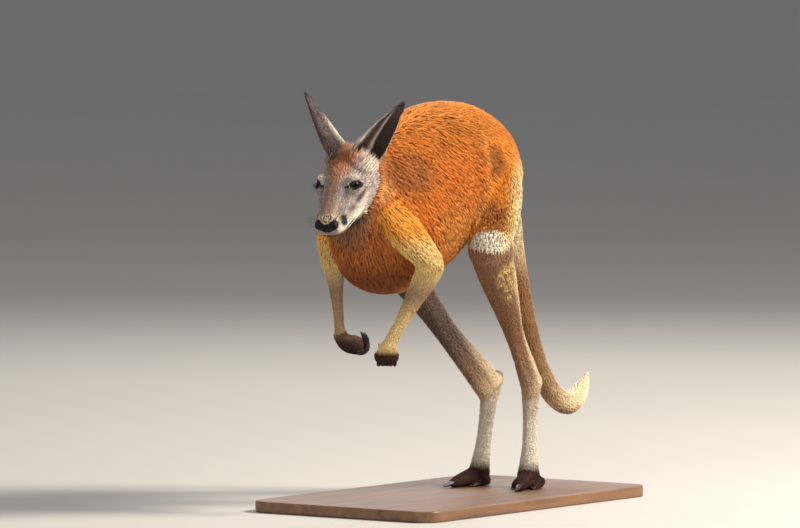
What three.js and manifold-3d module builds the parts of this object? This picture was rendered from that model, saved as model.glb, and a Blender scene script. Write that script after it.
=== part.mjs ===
// Red kangaroo at the push-off of a hop, life-size, on a flat display base.
//
// Millimetres, +Z up, +X the way the animal travels, +Y its left side.
// The body is laid out in a ground frame whose origin is on the midline at the balls of the feet;
// the origin of the whole part is the centre of the display base's underside.
import * as THREE from 'three';
import { LoftGeometry } from 'three/addons/geometries/LoftGeometry.js';
import { mergeVertices } from 'three/addons/utils/BufferGeometryUtils.js';
import Module from 'manifold-3d';

const wasm = await Module();
wasm.setup();

// ---------------------------------------------------------------- driving dimensions

const GAP = 0.3;                 // air between neighbouring pieces
const BASE_LENGTH = 760;         // display base, fore and aft
const BASE_WIDTH = 440;
const BASE_THICKNESS = 22;
const BASE_CORNER = 40;          // corner radius of the base
const BASE_EDGE = 3;             // rounded edge of the base
const BASE_CENTRE_X = 190;       // the base lies under the centre of mass, not under the feet

const HEAD_YAW = 11;             // the head is turned a little to the left
const HEAD_PITCH = 51;           // and the muzzle hangs this far below the level
const EYES_MIDPOINT = [586, 14, 624];
const EYE_RADIUS = 14;
const EYE_SPREAD = 33;           // from the head's midplane to the centre of an eyeball
const EAR_THICKNESS = 3.2;
const EAR_RIM_SHARE = 0.55;      // the wall thins to this share towards the rims
const EAR_ARC_STEPS = 5;         // facets across the back of an ear

const TOE_OUT = { left: 23, right: 1 };   // turn of each foot away from the midline
const FOOT_LEAN = { left: 10, right: 15 };  // and its lean back from upright, heel over ball
const SHIN_TURN = 13;            // outward turn of both shins
const HEEL_CLEARANCE = 4;        // the pad of the foot stays this far off the ground
const CLAW_CLEARANCE = 1;

// ---------------------------------------------------------------- ovals and lofts

const vec = ([x, y, z]) => new THREE.Vector3(x, y, z);
const radians = THREE.MathUtils.degToRad;

// One oval ring: half-width to either side, rise towards `up`, fall away from it.
function ring({ centre, side, up, width, rise, fall }, sides, grow, scale = 1) {
  const points = [];
  for (let i = 0; i < sides; i++) {
    const angle = (i / sides) * 2 * Math.PI;
    const across = Math.cos(angle) * (width * scale + grow);
    const height = Math.sin(angle);
    const along = height * ((height > 0 ? rise : fall) * scale + grow);
    points.push(centre.clone().addScaledVector(side, across).addScaledVector(up, along));
  }
  return points;
}

// A closed loft through ovals, with domed ends `domes` deep, grown by `grow` all over.
// `floor` flattens what would pass below that level.
function loft(ovals, { sides = 18, domes = [0, 0], grow = 0, floor = null } = {}) {
  const rings = [];
  const dome = (oval, away, depth) => {
    for (const turn of [75, 45]) {
      const reach = depth * Math.sin(radians(turn)) + grow;
      const lifted = { ...oval, centre: oval.centre.clone().addScaledVector(away, reach) };
      rings.push(ring(lifted, sides, grow, Math.cos(radians(turn))));
    }
  };
  const first = ovals[0];
  const final = ovals[ovals.length - 1];
  const backward = first.up.clone().cross(first.side);
  const onward = final.side.clone().cross(final.up);
  if (domes[0] > 0) dome(first, backward, domes[0]);
  for (const oval of ovals) rings.push(ring(oval, sides, grow));
  const tail = rings.length;
  if (domes[1] > 0) dome(final, onward, domes[1]);
  rings.push(...rings.splice(tail).reverse());
  if (domes[0] === 0 && grow > 0) {
    rings[0].forEach((point) => point.addScaledVector(backward, grow));
  }
  if (domes[1] === 0 && grow > 0) {
    rings[rings.length - 1].forEach((point) => point.addScaledVector(onward, grow));
  }
  if (floor !== null) {
    rings.flat().forEach((point) => { point.z = Math.max(point.z, floor - grow); });
  }
  return new LoftGeometry(rings, { capStart: true, capEnd: true });
}

// Ovals along a limb. Each row is [x, y, z, half-width, rise, fall]; the half-width runs along
// `pole`, and rise points to the front of a limb that hangs down.
function limb(rows, pole) {
  const centres = rows.map((row) => vec(row));
  return rows.map((row, i) => {
    const before = centres[Math.max(i - 1, 0)];
    const after = centres[Math.min(i + 1, centres.length - 1)];
    const along = after.clone().sub(before).normalize();
    const side = pole.clone().addScaledVector(along, -along.dot(pole)).normalize();
    const up = along.clone().cross(side);
    return { centre: centres[i], side, up, width: row[3], rise: row[4], fall: row[5] };
  });
}

// Ovals between a point of the back and a point of the belly. Each row is
// [back x, back z, belly x, belly z, half-width, height of the widest place from 0 to 1, shift in y].
function slices(rows) {
  return rows.map(([bx, bz, vx, vz, width, widest, y]) => {
    const belly = new THREE.Vector3(vx, y, vz);
    const span = new THREE.Vector3(bx, y, bz).sub(belly);
    const depth = span.length();
    const centre = belly.addScaledVector(span, widest);
    const side = new THREE.Vector3(0, 1, 0);
    const up = span.divideScalar(depth);
    return { centre, side, up, width, rise: depth * (1 - widest), fall: depth * widest };
  });
}

// ---------------------------------------------------------------- solids

function solid(geometry) {
  const bare = new THREE.BufferGeometry();
  bare.setAttribute('position', geometry.getAttribute('position').clone());
  bare.setIndex(geometry.getIndex() ? geometry.getIndex().clone() : null);
  const merged = mergeVertices(bare, 1e-4);
  return new wasm.Manifold(new wasm.Mesh({
    numProp: 3,
    vertProperties: Float32Array.from(merged.getAttribute('position').array),
    triVerts: Uint32Array.from(merged.getIndex().array),
  }));
}

// Cuts leave slivers and crumbs: the largest body is the piece.
function largestBody(shape) {
  const bodies = shape.decompose();
  return bodies.reduce((best, body) => (body.volume() > best.volume() ? body : best));
}

function toGeometry(shape) {
  const mesh = shape.getMesh();
  const geometry = new THREE.BufferGeometry();
  geometry.setAttribute('position', new THREE.BufferAttribute(mesh.vertProperties.slice(), 3));
  geometry.setIndex(new THREE.BufferAttribute(mesh.triVerts.slice(), 1));
  geometry.computeVertexNormals();
  return geometry;
}

// A body part knows its true shape and the same shape grown by the gap, which cuts its neighbours.
function form(makeGeometry) {
  return { exact: solid(makeGeometry(0)), grown: solid(makeGeometry(GAP)) };
}

const join = (a, b) => ({ exact: a.exact.add(b.exact), grown: a.grown.add(b.grown) });

function cut(part, ...neighbours) {
  return neighbours.reduce((rest, other) => rest.subtract(other.grown), part.exact);
}

// ---------------------------------------------------------------- materials

const finish = (color, roughness = 0.9) => ({ color, roughness, metalness: 0 });
const RUFOUS = finish('#a9602b');
const THIGH = finish('#94572c');
const CREAM = finish('#cbb79b');
const TAIL = finish('#b98a5a');
const HEAD_GREY = finish('#8f8078');
const EAR_GREY = finish('#5b4c45');
const DARK_SKIN = finish('#35231d', 0.8);
const NOSE_BLACK = finish('#141110', 0.45);
const EYE_BLACK = finish('#0c0807', 0.08);
const CLAW = finish('#1a1513', 0.35);
const BASE_WOOD = finish('#6b4a30', 0.5);

const kangaroo = new THREE.Group();
const animal = new THREE.Group();
animal.position.set(-BASE_CENTRE_X, 0, BASE_THICKNESS + GAP);
kangaroo.add(animal);

function addNode(group, name, shape, look) {
  const mesh = new THREE.Mesh(toGeometry(largestBody(shape)), new THREE.MeshStandardMaterial(look));
  mesh.name = name;
  group.add(mesh);
}

// ---------------------------------------------------------------- trunk and neck

const TRUNK_SLICES = [
  // back x, z     belly x, z   half-width  widest  y
  [-20, 642, -4, 594, 25, 0.5, 0],
  [-2, 684, 26, 564, 44, 0.5, 0],
  [36, 721, 68, 552, 67, 0.5, 0],
  [94, 751, 114, 542, 93, 0.48, 0],
  [165, 774, 158, 524, 117, 0.47, 0],
  [245, 778, 210, 491, 128, 0.47, 0],
  [322, 766, 268, 447, 127, 0.46, 0],
  [390, 738, 340, 411, 117, 0.46, 0],
  [436, 710, 420, 402, 104, 0.47, 0],
  [466, 690, 490, 420, 90, 0.48, 0],
  [484, 668, 532, 462, 68, 0.46, 0],
];
const NECK_SLICES = [
  [436, 700, 470, 450, 70, 0.5, 0],
  [456, 697, 514, 468, 72, 0.52, 1],
  [474, 695, 540, 502, 68, 0.54, 3],
  [490, 695, 550, 540, 58, 0.55, 6],
  [504, 697, 553, 574, 48, 0.55, 8],
  [517, 700, 558, 604, 38, 0.55, 9],
];
const trunk = form((grow) => loft(slices(TRUNK_SLICES), { sides: 18, domes: [9, 24], grow }));
const neck = form((grow) => loft(slices(NECK_SLICES), { sides: 12, grow }));

// ---------------------------------------------------------------- head

const yaw = radians(HEAD_YAW);
const pitch = radians(HEAD_PITCH);
const MUZZLEWARD = vec([Math.cos(pitch) * Math.cos(yaw), Math.cos(pitch) * Math.sin(yaw), -Math.sin(pitch)]);
const CROWNWARD = vec([Math.sin(pitch) * Math.cos(yaw), Math.sin(pitch) * Math.sin(yaw), Math.cos(pitch)]);
const LEFTWARD = vec([-Math.sin(yaw), Math.cos(yaw), 0]);

// A place on the head: along the muzzle, to the left, towards the forehead.
function onHead(along, left, up) {
  return vec(EYES_MIDPOINT).addScaledVector(MUZZLEWARD, along)
    .addScaledVector(LEFTWARD, left).addScaledVector(CROWNWARD, up);
}

function headOvals(rows) {
  return rows.map(([along, forehead, jaw, width, widest]) => ({
    centre: onHead(along, 0, jaw + (forehead - jaw) * widest),
    side: LEFTWARD,
    up: CROWNWARD,
    width,
    rise: (forehead - jaw) * (1 - widest),
    fall: (forehead - jaw) * widest,
  }));
}

const HEAD_OVALS = [
  // along, forehead, jaw, half-width, height of the widest place
  [-90, 0, -55, 33, 0.5],
  [-70, 14, -76, 47, 0.5],
  [-46, 22, -85, 54.5, 0.5],
  [-20, 24, -84, 55, 0.5],
  [6, 22, -79, 49, 0.52],
  [30, 17, -72, 42, 0.52],
  [58, 13, -62, 35, 0.5],
  [82, 10, -47, 31.5, 0.5],
  [96, 4, -37, 26, 0.5],
];
const NOSE_OVALS = [
  [84, 9.5, -10, 20, 0.5],
  [92, 10, -16, 25, 0.55],
  [99, 6, -17, 24.5, 0.55],
  [104, 0, -14, 17.5, 0.55],
];
const BROW_OVALS = [
  // a low swelling round each eye: along, up, half-width, half-height
  [-22, 3, 6, 7],
  [-8, 4, 12, 15],
  [6, 1, 12, 14],
  [17, -3, 6, 7],
];

const BROW_SPREAD = 32.5;         // from the head's midplane to the middle of a brow

function browOvals(sign) {
  return BROW_OVALS.map(([along, up, width, height]) => ({
    centre: onHead(along, sign * BROW_SPREAD, up),
    side: LEFTWARD,
    up: CROWNWARD,
    width,
    rise: height,
    fall: height,
  }));
}

const skull = form((grow) => loft(headOvals(HEAD_OVALS), { sides: 16, domes: [12, 8], grow }));
const nose = form((grow) => loft(headOvals(NOSE_OVALS), { sides: 10, domes: [0, 2.5], grow }));

// ---------------------------------------------------------------- ears

const EAR_CROSSES = [
  // share of the length, half-width, depth of the cup
  [0.0, 31, 19],
  [0.14, 32, 19.5],
  [0.3, 30.5, 18],
  [0.47, 26, 14.5],
  [0.64, 21, 11],
  [0.8, 14, 7],
  [0.92, 9.5, 4.6],
  [1.0, 4, 2],
];

// An ear is a leaf curled into a cup: each cross is a crescent, open towards `opening`.
function earGeometry({ base, tip, opening }, grow) {
  const axis = tip.clone().sub(base);
  const length = axis.length();
  axis.divideScalar(length);
  const open = opening.clone().addScaledVector(axis, -axis.dot(opening)).normalize();
  const across = open.clone().cross(axis);
  const rings = EAR_CROSSES.map(([share, width, cup]) => {
    const wall = Math.min(EAR_THICKNESS, width * 0.5) + grow;
    const spine = base.clone().addScaledVector(axis, share * length);
    const place = (t, inner) => {
      const half = width + grow - (inner ? wall * EAR_RIM_SHARE : 0);
      const deep = cup + grow - (inner ? wall : 0);
      const rim = inner ? 0 : grow;
      return spine.clone().addScaledVector(across, half * Math.sin(t * Math.PI / 2))
        .addScaledVector(open, rim - deep * Math.cos(t * Math.PI / 2));
    };
    const points = [];
    for (let i = 0; i <= EAR_ARC_STEPS; i++) points.push(place((2 * i) / EAR_ARC_STEPS - 1, false));
    for (let i = 0; i <= EAR_ARC_STEPS; i++) points.push(place(0.94 - (1.88 * i) / EAR_ARC_STEPS, true));
    return points;
  });
  return new LoftGeometry(rings, { capStart: true, capEnd: true });
}

const EARS = {
  left: { base: onHead(-61, 34, 2), tip: vec([512, 115, 784]), opening: vec([0.42, 0.9, 0]) },
  right: { base: onHead(-62, -17, 4), tip: vec([546, -95, 800]), opening: vec([-0.05, -1, 0]) },
};

// ---------------------------------------------------------------- limbs, given for the left side

const THIGH_ROWS = [
  [92, 26, 690, 34, 60, 60],
  [122, 50, 652, 47, 72, 72],
  [155, 81, 606, 52, 70, 70],
  [190, 102, 562, 49, 67, 67],
  [214, 115, 524, 44, 60, 59],
  [228, 121, 497, 41, 53, 54],
  [234, 124, 480, 38, 46, 48],
];
const KNEE = [236, 125, 490];
const ANKLE = { left: [-6, 57, 190], right: [-14, 55, 184] };
const SHIN_GIRTHS = [
  // share of the way from knee to ankle, half-width, to the front, to the back
  [0.0, 39, 50, 45],
  [0.1, 39, 47, 44],
  [0.2, 36.5, 42, 41],
  [0.32, 31, 36, 34],
  [0.45, 25, 29, 27],
  [0.6, 17.5, 27, 27],
  [0.75, 15, 26, 34],
  [0.88, 17, 25, 42],
  [1.0, 18.5, 24, 43],
];
// Up the foot from its ball: distance, shift to the front, half-width, to the front, to the back.
const FOOT_GIRTHS = [
  [201, -9, 12.5, 11, 13],
  [191, -8, 16, 17, 16],
  [178, -1, 19, 25, 21],
  [152, 4, 18.5, 21, 20],
  [122, 3, 16, 18.5, 18],
  [84, 1, 15, 18, 18],
  [50, 0, 16, 18, 18],
  [22, 0, 19.5, 19, 20],
  [0, 0, 23, 20, 21],
];
// Toes lie on the ground. Each row: along the foot, half-width, height.
const TOES = {
  main: { across: 0, rows: [[-6, 21, 40], [20, 20, 37], [46, 17.5, 31], [70, 14.5, 25], [90, 10, 18]] },
  outer: { across: 24, rows: [[-8, 10, 22], [14, 10.5, 22], [34, 9, 18], [50, 6, 12]] },
  inner: { across: -21, rows: [[-4, 8, 20], [16, 8, 18], [34, 7, 15], [46, 4.5, 10]] },
};
// Claws: start along the foot, length, half-width, height, offset from the toe's own line.
const CLAWS = {
  main: { toe: 'main', from: 82, length: 40, width: 7.5, height: 13, shift: 0 },
  outer: { toe: 'outer', from: 45, length: 22, width: 4, height: 8, shift: 0 },
  inner_a: { toe: 'inner', from: 40, length: 16, width: 2.4, height: 6, shift: 3.2 },
  inner_b: { toe: 'inner', from: 40, length: 16, width: 2.4, height: 6, shift: -3.2 },
};
// Share of a claw's length, level of its middle and its size, as shares of the claw's height.
const CLAW_CROSSES = [[0, 0.75, 1], [0.5, 0.6, 0.72], [1, 0.31, 0.18]];
const BALL = { left: [6, 58, 27], right: [12, 58, 27] };

const UPPER_ARM_ROWS = [
  [494, 58, 584, 24, 32, 34],
  [478, 76, 550, 31, 38, 40],
  [456, 97, 514, 30, 37, 37],
  [436, 111, 487, 28, 31, 31],
  [420, 118, 468, 25, 25, 26],
];
const ELBOW = [420, 119, 466];
const WRIST = { left: [492, 60, 303], right: [480, 60, 322] };
const FOREARM_GIRTHS = [
  [0.0, 25, 23, 22],
  [0.12, 25.5, 21, 20],
  [0.3, 22, 15.5, 15.5],
  [0.45, 18.5, 12.5, 12.5],
  [0.65, 14.5, 10.5, 10.5],
  [0.85, 14, 10.5, 10.5],
  [1.0, 15.5, 11, 11],
];
const HAND_TURN = 35;            // the limp hands point back and in, this far from straight back
// Palm: reach back from the wrist, drop below it, half-breadth, half-thickness.
const PALM = [[-2, -8, 15, 12], [6, 5, 20, 16], [18, 13, 24.5, 19], [30, 15.5, 25, 19.5], [41, 16, 22, 16.5]];
// Fingers curl up past the palm's end, a claw on each: reach, drop, half-breadth, half-thickness.
const FINGER_PATH = [[28, 29, 4, 5.4], [41, 30, 4, 5.6], [50, 23, 3.9, 5.2], [52, 11, 3.4, 3.8]];
const FINGER_CLAW = [[52, 15, 2.4, 2.9], [52, 3, 2, 2.2], [46, -9, 0.7, 0.7]];
const FINGER_SPREAD = [-15.6, -7.8, 0, 7.8, 15.6];

const mirrored = ([x, y, ...rest], sign) => [x, sign * y, ...rest];

function between(start, end, girths, sign) {
  return girths.map(([share, ...size]) => {
    const place = start.map((value, i) => value + (end[i] - value) * share);
    return [...mirrored(place, sign), ...size];
  });
}

// The half-width of a left limb runs to its outer side; on the right it runs inwards, so that
// the rise of both points forward.
const outward = (degrees, sign) => vec([-Math.sin(radians(degrees)) * sign, Math.cos(radians(degrees)), 0]);

function legForms(sideName, sign) {
  const shinPole = outward(SHIN_TURN, sign);
  const footPole = outward(TOE_OUT[sideName], sign);
  const ahead = new THREE.Vector3(footPole.y, -footPole.x, 0);
  const ball = vec(mirrored(BALL[sideName], sign));
  const heelward = vec([0, 0, Math.cos(radians(FOOT_LEAN[sideName]))])
    .addScaledVector(ahead, -Math.sin(radians(FOOT_LEAN[sideName])));
  const instep = ahead.clone().addScaledVector(heelward, -heelward.dot(ahead)).normalize();
  const upFoot = (far, fore) => ball.clone().addScaledVector(heelward, far).addScaledVector(instep, fore);
  const thigh = form((grow) => loft(
    limb(THIGH_ROWS.map((row) => mirrored(row, sign)), vec([0, 1, 0])),
    { sides: 14, domes: [0, 24], grow },
  ));
  const shin = form((grow) => loft(
    limb(between(KNEE, ANKLE[sideName], SHIN_GIRTHS, sign), shinPole),
    { sides: 12, domes: [16, 0], grow },
  ));
  const foot = form((grow) => loft(
    limb(FOOT_GIRTHS.map(([far, fore, ...size]) => [...upFoot(far, fore).toArray(), ...size]), footPole),
    { sides: 10, domes: [9, 12], grow, floor: HEEL_CLEARANCE },
  ));
  const onFoot = (along, across, height) => ball.clone()
    .addScaledVector(ahead, along).addScaledVector(footPole, across * sign)
    .setZ(height);
  const toeForm = ({ across, rows }) => form((grow) => loft(
    rows.map(([along, width, height]) => ({
      centre: onFoot(along, across, height * 0.45),
      side: footPole,
      up: new THREE.Vector3(0, 0, 1),
      width,
      rise: height * 0.55,
      fall: height * 0.5,
    })),
    { sides: 8, domes: [0, 5], grow, floor: 0 },
  ));
  const toes = Object.fromEntries(Object.entries(TOES).map(([key, toe]) => [key, toeForm(toe)]));
  const clawForm = ({ toe, from, length, width, height, shift }) => form((grow) => loft(
    CLAW_CROSSES.map(([share, level, size]) => ({
      centre: onFoot(from + length * share, TOES[toe].across + shift, height * level),
      side: footPole,
      up: new THREE.Vector3(0, 0, 1),
      width: width * size,
      rise: height * 0.5 * size,
      fall: height * 0.5 * size,
    })),
    { sides: 6, grow, floor: CLAW_CLEARANCE },
  ));
  const claws = Object.fromEntries(Object.entries(CLAWS).map(([key, claw]) => [key, clawForm(claw)]));
  return { thigh, shin, foot, toes, claws };
}

function armForms(sideName, sign) {
  const breadthPole = outward(HAND_TURN, sign);
  const backward = vec([-breadthPole.y, breadthPole.x, 0]);
  const wrist = vec(mirrored(WRIST[sideName], sign));
  const upperArm = form((grow) => loft(
    limb(UPPER_ARM_ROWS.map((row) => mirrored(row, sign)), vec([0, 1, 0])),
    { sides: 12, domes: [12, 12], grow },
  ));
  const forearm = form((grow) => loft(
    limb(between(ELBOW, WRIST[sideName], FOREARM_GIRTHS, sign), breadthPole),
    { sides: 10, domes: [12, 0], grow },
  ));
  const reachPoint = (reach, drop, across = 0) => wrist.clone()
    .addScaledVector(backward, reach).addScaledVector(breadthPole, across)
    .add(new THREE.Vector3(0, 0, -drop));
  const handChain = (rows, across) => limb(
    rows.map(([reach, drop, width, thick]) => [...reachPoint(reach, drop, across).toArray(), width, thick, thick]),
    breadthPole,
  );
  let hand = form((grow) => loft(handChain(PALM, 0), { sides: 8, grow }));
  const claws = [];
  for (const across of FINGER_SPREAD) {
    hand = join(hand, form((grow) => loft(handChain(FINGER_PATH, across), { sides: 5, grow })));
    claws.push(form((grow) => loft(handChain(FINGER_CLAW, across), { sides: 4, grow })));
  }
  return { upperArm, forearm, hand, claws };
}

// ---------------------------------------------------------------- tail

const TAIL_ROWS = [
  [62, 0, 648, 50, 48, 52],
  [26, 0, 608, 43, 40, 46],
  [12, 0, 568, 35, 33, 36],
  [-3, 0, 520, 31, 30, 31],
  [-16, 0, 471, 28, 28, 28],
  [-31, 0, 420, 26.5, 26.5, 26.5],
  [-49, 0, 366, 25, 25, 25],
  [-72, 0, 306, 24, 24, 24],
  [-102, 0, 246, 23, 23, 23],
  [-138, 0, 198, 23, 23, 23],
  [-176, 0, 166, 24, 24, 24],
  [-216, 0, 152, 24.5, 24.5, 24.5],
  [-248, 0, 164, 21.5, 21.5, 21.5],
  [-271, 0, 186, 15.5, 15.5, 15.5],
  [-286, 0, 208, 7, 7, 7],
];
// The three lengths of the tail end at these rows.
const TAIL_LENGTHS = [[0, 5], [4, 10], [9, 14]];
const tailLengths = TAIL_LENGTHS.map(([from, to], i) => form((grow) => loft(
  limb(TAIL_ROWS.slice(from, to + 1), vec([0, 1, 0])),
  { sides: 11, domes: [0, i === 2 ? 7 : 0], grow },
)));

// ---------------------------------------------------------------- parting the body

const sidesOfBody = [['left', 1], ['right', -1]];
const eyeballs = Object.fromEntries(sidesOfBody.map(([name, sign]) => {
  const centre = onHead(0, sign * EYE_SPREAD, 0);
  const ball = (grow) => new THREE.SphereGeometry(EYE_RADIUS + grow, 10, 7)
    .translate(centre.x, centre.y, centre.z);
  return [name, form(ball)];
}));
const brows = sidesOfBody.map(([, sign]) => form((grow) => loft(browOvals(sign), { sides: 8, grow })));
const head = brows.reduce((whole, brow) => join(whole, brow), skull);

addNode(animal, 'trunk', trunk.exact, RUFOUS);
addNode(animal, 'neck', cut(neck, trunk, head), RUFOUS);
addNode(animal, 'head', cut(head, trunk, nose, eyeballs.left, eyeballs.right), HEAD_GREY);
addNode(animal, 'nose', nose.exact, NOSE_BLACK);

for (const [name, sign] of sidesOfBody) {
  addNode(animal, `eye_${name}`, eyeballs[name].exact, EYE_BLACK);
  const ear = form((grow) => earGeometry(EARS[name], grow));
  addNode(animal, `ear_${name}`, cut(ear, head, neck), EAR_GREY);

  const leg = legForms(name, sign);
  addNode(animal, `thigh_${name}`, cut(leg.thigh, trunk, tailLengths[0]), THIGH);
  addNode(animal, `shin_${name}`, cut(leg.shin, leg.thigh, trunk), CREAM);
  addNode(animal, `foot_${name}`, cut(leg.foot, leg.shin), CREAM);
  addNode(animal, `toe_main_${name}`, cut(leg.toes.main, leg.foot), DARK_SKIN);
  addNode(animal, `toe_outer_${name}`, cut(leg.toes.outer, leg.foot, leg.toes.main), DARK_SKIN);
  addNode(animal, `toe_inner_${name}`, cut(leg.toes.inner, leg.foot, leg.toes.main), DARK_SKIN);
  for (const [key, claw] of Object.entries(leg.claws)) {
    addNode(animal, `claw_${key}_${name}`, cut(claw, leg.toes[CLAWS[key].toe]), CLAW);
  }

  const arm = armForms(name, sign);
  addNode(animal, `upper_arm_${name}`, cut(arm.upperArm, trunk, neck), RUFOUS);
  addNode(animal, `forearm_${name}`, cut(arm.forearm, arm.upperArm, trunk), CREAM);
  addNode(animal, `hand_${name}`, cut(arm.hand, arm.forearm), DARK_SKIN);
  arm.claws.forEach((claw, i) => {
    addNode(animal, `finger_claw_${i + 1}_${name}`, cut(claw, arm.hand), CLAW);
  });
}

addNode(animal, 'tail_1', cut(tailLengths[0], trunk), TAIL);
addNode(animal, 'tail_2', cut(tailLengths[1], tailLengths[0]), TAIL);
addNode(animal, 'tail_3', cut(tailLengths[2], tailLengths[1]), TAIL);

// ---------------------------------------------------------------- display base

function baseGeometry() {
  const x = BASE_LENGTH / 2 - BASE_EDGE;
  const y = BASE_WIDTH / 2 - BASE_EDGE;
  const r = BASE_CORNER;
  const plan = new THREE.Shape();
  plan.moveTo(-x + r, -y);
  plan.lineTo(x - r, -y);
  plan.absarc(x - r, -y + r, r, -Math.PI / 2, 0);
  plan.lineTo(x, y - r);
  plan.absarc(x - r, y - r, r, 0, Math.PI / 2);
  plan.lineTo(-x + r, y);
  plan.absarc(-x + r, y - r, r, Math.PI / 2, Math.PI);
  plan.lineTo(-x, -y + r);
  plan.absarc(-x + r, -y + r, r, Math.PI, Math.PI * 1.5);
  return new THREE.ExtrudeGeometry(plan, {
    depth: BASE_THICKNESS - 2 * BASE_EDGE,
    bevelEnabled: true,
    bevelSize: BASE_EDGE,
    bevelThickness: BASE_EDGE,
    bevelSegments: 2,
    curveSegments: 2,
  }).translate(0, 0, BASE_EDGE);
}
addNode(kangaroo, 'stand_base', solid(baseGeometry()), BASE_WOOD);

export default kangaroo;
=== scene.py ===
# %% [markdown]
# # A red kangaroo in fur
#
# The model is a life-size museum animal: a kangaroo on its toes in the push-off of a hop, on a plain
# wooden board. The CAD frame gives the outline out to the tips of the coat. This lesson puts a
# living surface inside that outline: one skin, a coat of small solid tufts over it, and separate
# eyes, nose, claws and board.

# %% Load the frame
import math

import bpy
import numpy as np
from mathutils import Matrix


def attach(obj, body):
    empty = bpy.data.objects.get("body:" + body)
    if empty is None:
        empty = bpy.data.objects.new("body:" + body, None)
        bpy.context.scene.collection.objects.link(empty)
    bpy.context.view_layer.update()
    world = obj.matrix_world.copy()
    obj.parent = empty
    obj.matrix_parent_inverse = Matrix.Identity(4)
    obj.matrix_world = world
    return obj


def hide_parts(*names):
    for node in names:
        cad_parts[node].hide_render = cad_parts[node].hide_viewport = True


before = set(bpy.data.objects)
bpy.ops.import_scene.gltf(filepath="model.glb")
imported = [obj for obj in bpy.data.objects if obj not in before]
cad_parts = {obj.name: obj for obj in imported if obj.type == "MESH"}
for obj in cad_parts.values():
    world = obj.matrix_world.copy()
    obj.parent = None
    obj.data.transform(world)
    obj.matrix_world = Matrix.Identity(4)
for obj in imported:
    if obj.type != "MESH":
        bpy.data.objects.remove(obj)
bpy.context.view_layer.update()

import openvdb
from mathutils import Vector

np.random.seed(0)

# %% [markdown]
# ## Units and places
#
# Body sizes are easiest to read in millimetres, in a ground frame whose origin is on the midline at
# the balls of the feet: x forward, y to the animal's left, z up. The finished part has its origin
# under the middle of the board. Everything is worked out in the first frame and moved once, when a
# mesh is made, so no object is ever turned or scaled afterwards.

# %% Units and places
MM = 0.001
GROUND = np.array([-190.0, 0.0, 22.3])   # the ground frame's origin inside the part
SIDES = (("left", 1.0), ("right", -1.0))


def unit(vectors):
    """Vectors at length one: each is divided by the root of its summed squares."""
    vectors = np.asarray(vectors, float)
    return vectors / np.maximum(np.linalg.norm(vectors, axis=-1, keepdims=True), 1e-9)


def smoothstep(low, high, values):
    """0 below low, 1 above high, and 3 t squared minus 2 t cubed between them."""
    t = np.clip((values - low) / (high - low), 0.0, 1.0)
    return t * t * (3.0 - 2.0 * t)


def build_object(name, points, faces, smooth=True):
    """A mesh object from millimetre points and a list of triangle or quad index arrays."""
    mesh = bpy.data.meshes.new(name)
    places = ((np.asarray(points, float) + GROUND) * MM).astype(np.float32)
    corners = np.concatenate([part.ravel() for part in faces]).astype(np.int32)
    sizes = np.concatenate([np.full(len(part), part.shape[1]) for part in faces])
    starts = np.concatenate([[0], np.cumsum(sizes)[:-1]]).astype(np.int32)
    mesh.vertices.add(len(places))
    mesh.vertices.foreach_set("co", places.ravel())
    mesh.loops.add(len(corners))
    mesh.loops.foreach_set("vertex_index", corners)
    mesh.polygons.add(len(sizes))
    mesh.polygons.foreach_set("loop_start", starts)
    mesh.polygons.foreach_set("use_smooth", np.full(len(sizes), smooth))
    mesh.update(calc_edges=True)
    obj = bpy.data.objects.new(name, mesh)
    bpy.context.collection.objects.link(obj)
    return obj


# %% [markdown]
# ## Ovals along a line
#
# A trunk, a limb or a tail is a row of ovals strung along a line. Each oval has a half-width to both
# sides, a rise towards one pole and a fall away from it, so it can be egg-shaped. A smooth curve
# through the rows gives as many ovals in between as are wanted, and domes close the two ends.

# %% Ovals along a line
class Tube:
    """A row of ovals: centres, two axes for each, and the half sizes along them."""

    def __init__(self, centre, side, up, width, rise, fall):
        self.centre, self.side, self.up = centre, side, up
        self.width, self.rise, self.fall = width, rise, fall


def smooth_rows(rows, steps=6):
    """A curve through every row: p1 + t/2 (p2 - p0) + the square and cubic terms that keep it smooth."""
    rows = np.asarray(rows, float)
    padded = np.vstack([rows[:1], rows, rows[-1:]])
    p0, p1, p2, p3 = (padded[i:len(padded) - 3 + i, None, :] for i in range(4))
    t = (np.arange(steps) / steps)[None, :, None]
    bend = 2 * p0 - 5 * p1 + 4 * p2 - p3
    swing = 3 * p1 - p0 - 3 * p2 + p3
    curve = p1 + 0.5 * t * (p2 - p0 + t * (bend + t * swing))
    return np.vstack([curve.reshape(-1, rows.shape[1]), rows[-1:]])


def limb(rows, pole):
    """Ovals square to the line through [x, y, z, half-width, rise, fall], widest along the pole."""
    rows = smooth_rows(rows)
    along = unit(np.gradient(rows[:, :3], axis=0))
    side = unit(pole - along * (along @ pole)[:, None])
    return Tube(rows[:, :3], side, np.cross(along, side), *rows[:, 3:6].T)


def slices(rows):
    """Ovals spanned between the back and the belly: [back x, z, belly x, z, half-width, widest, y]."""
    back_x, back_z, belly_x, belly_z, width, widest, y = smooth_rows(rows).T
    belly = np.stack([belly_x, y, belly_z], axis=1)
    span = np.stack([back_x, y, back_z], axis=1) - belly
    depth = np.linalg.norm(span, axis=1)
    side = np.tile([0.0, 1.0, 0.0], (len(depth), 1))
    centre = belly + span * widest[:, None]
    return Tube(centre, side, span / depth[:, None], width, depth * (1 - widest), depth * widest)


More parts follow.
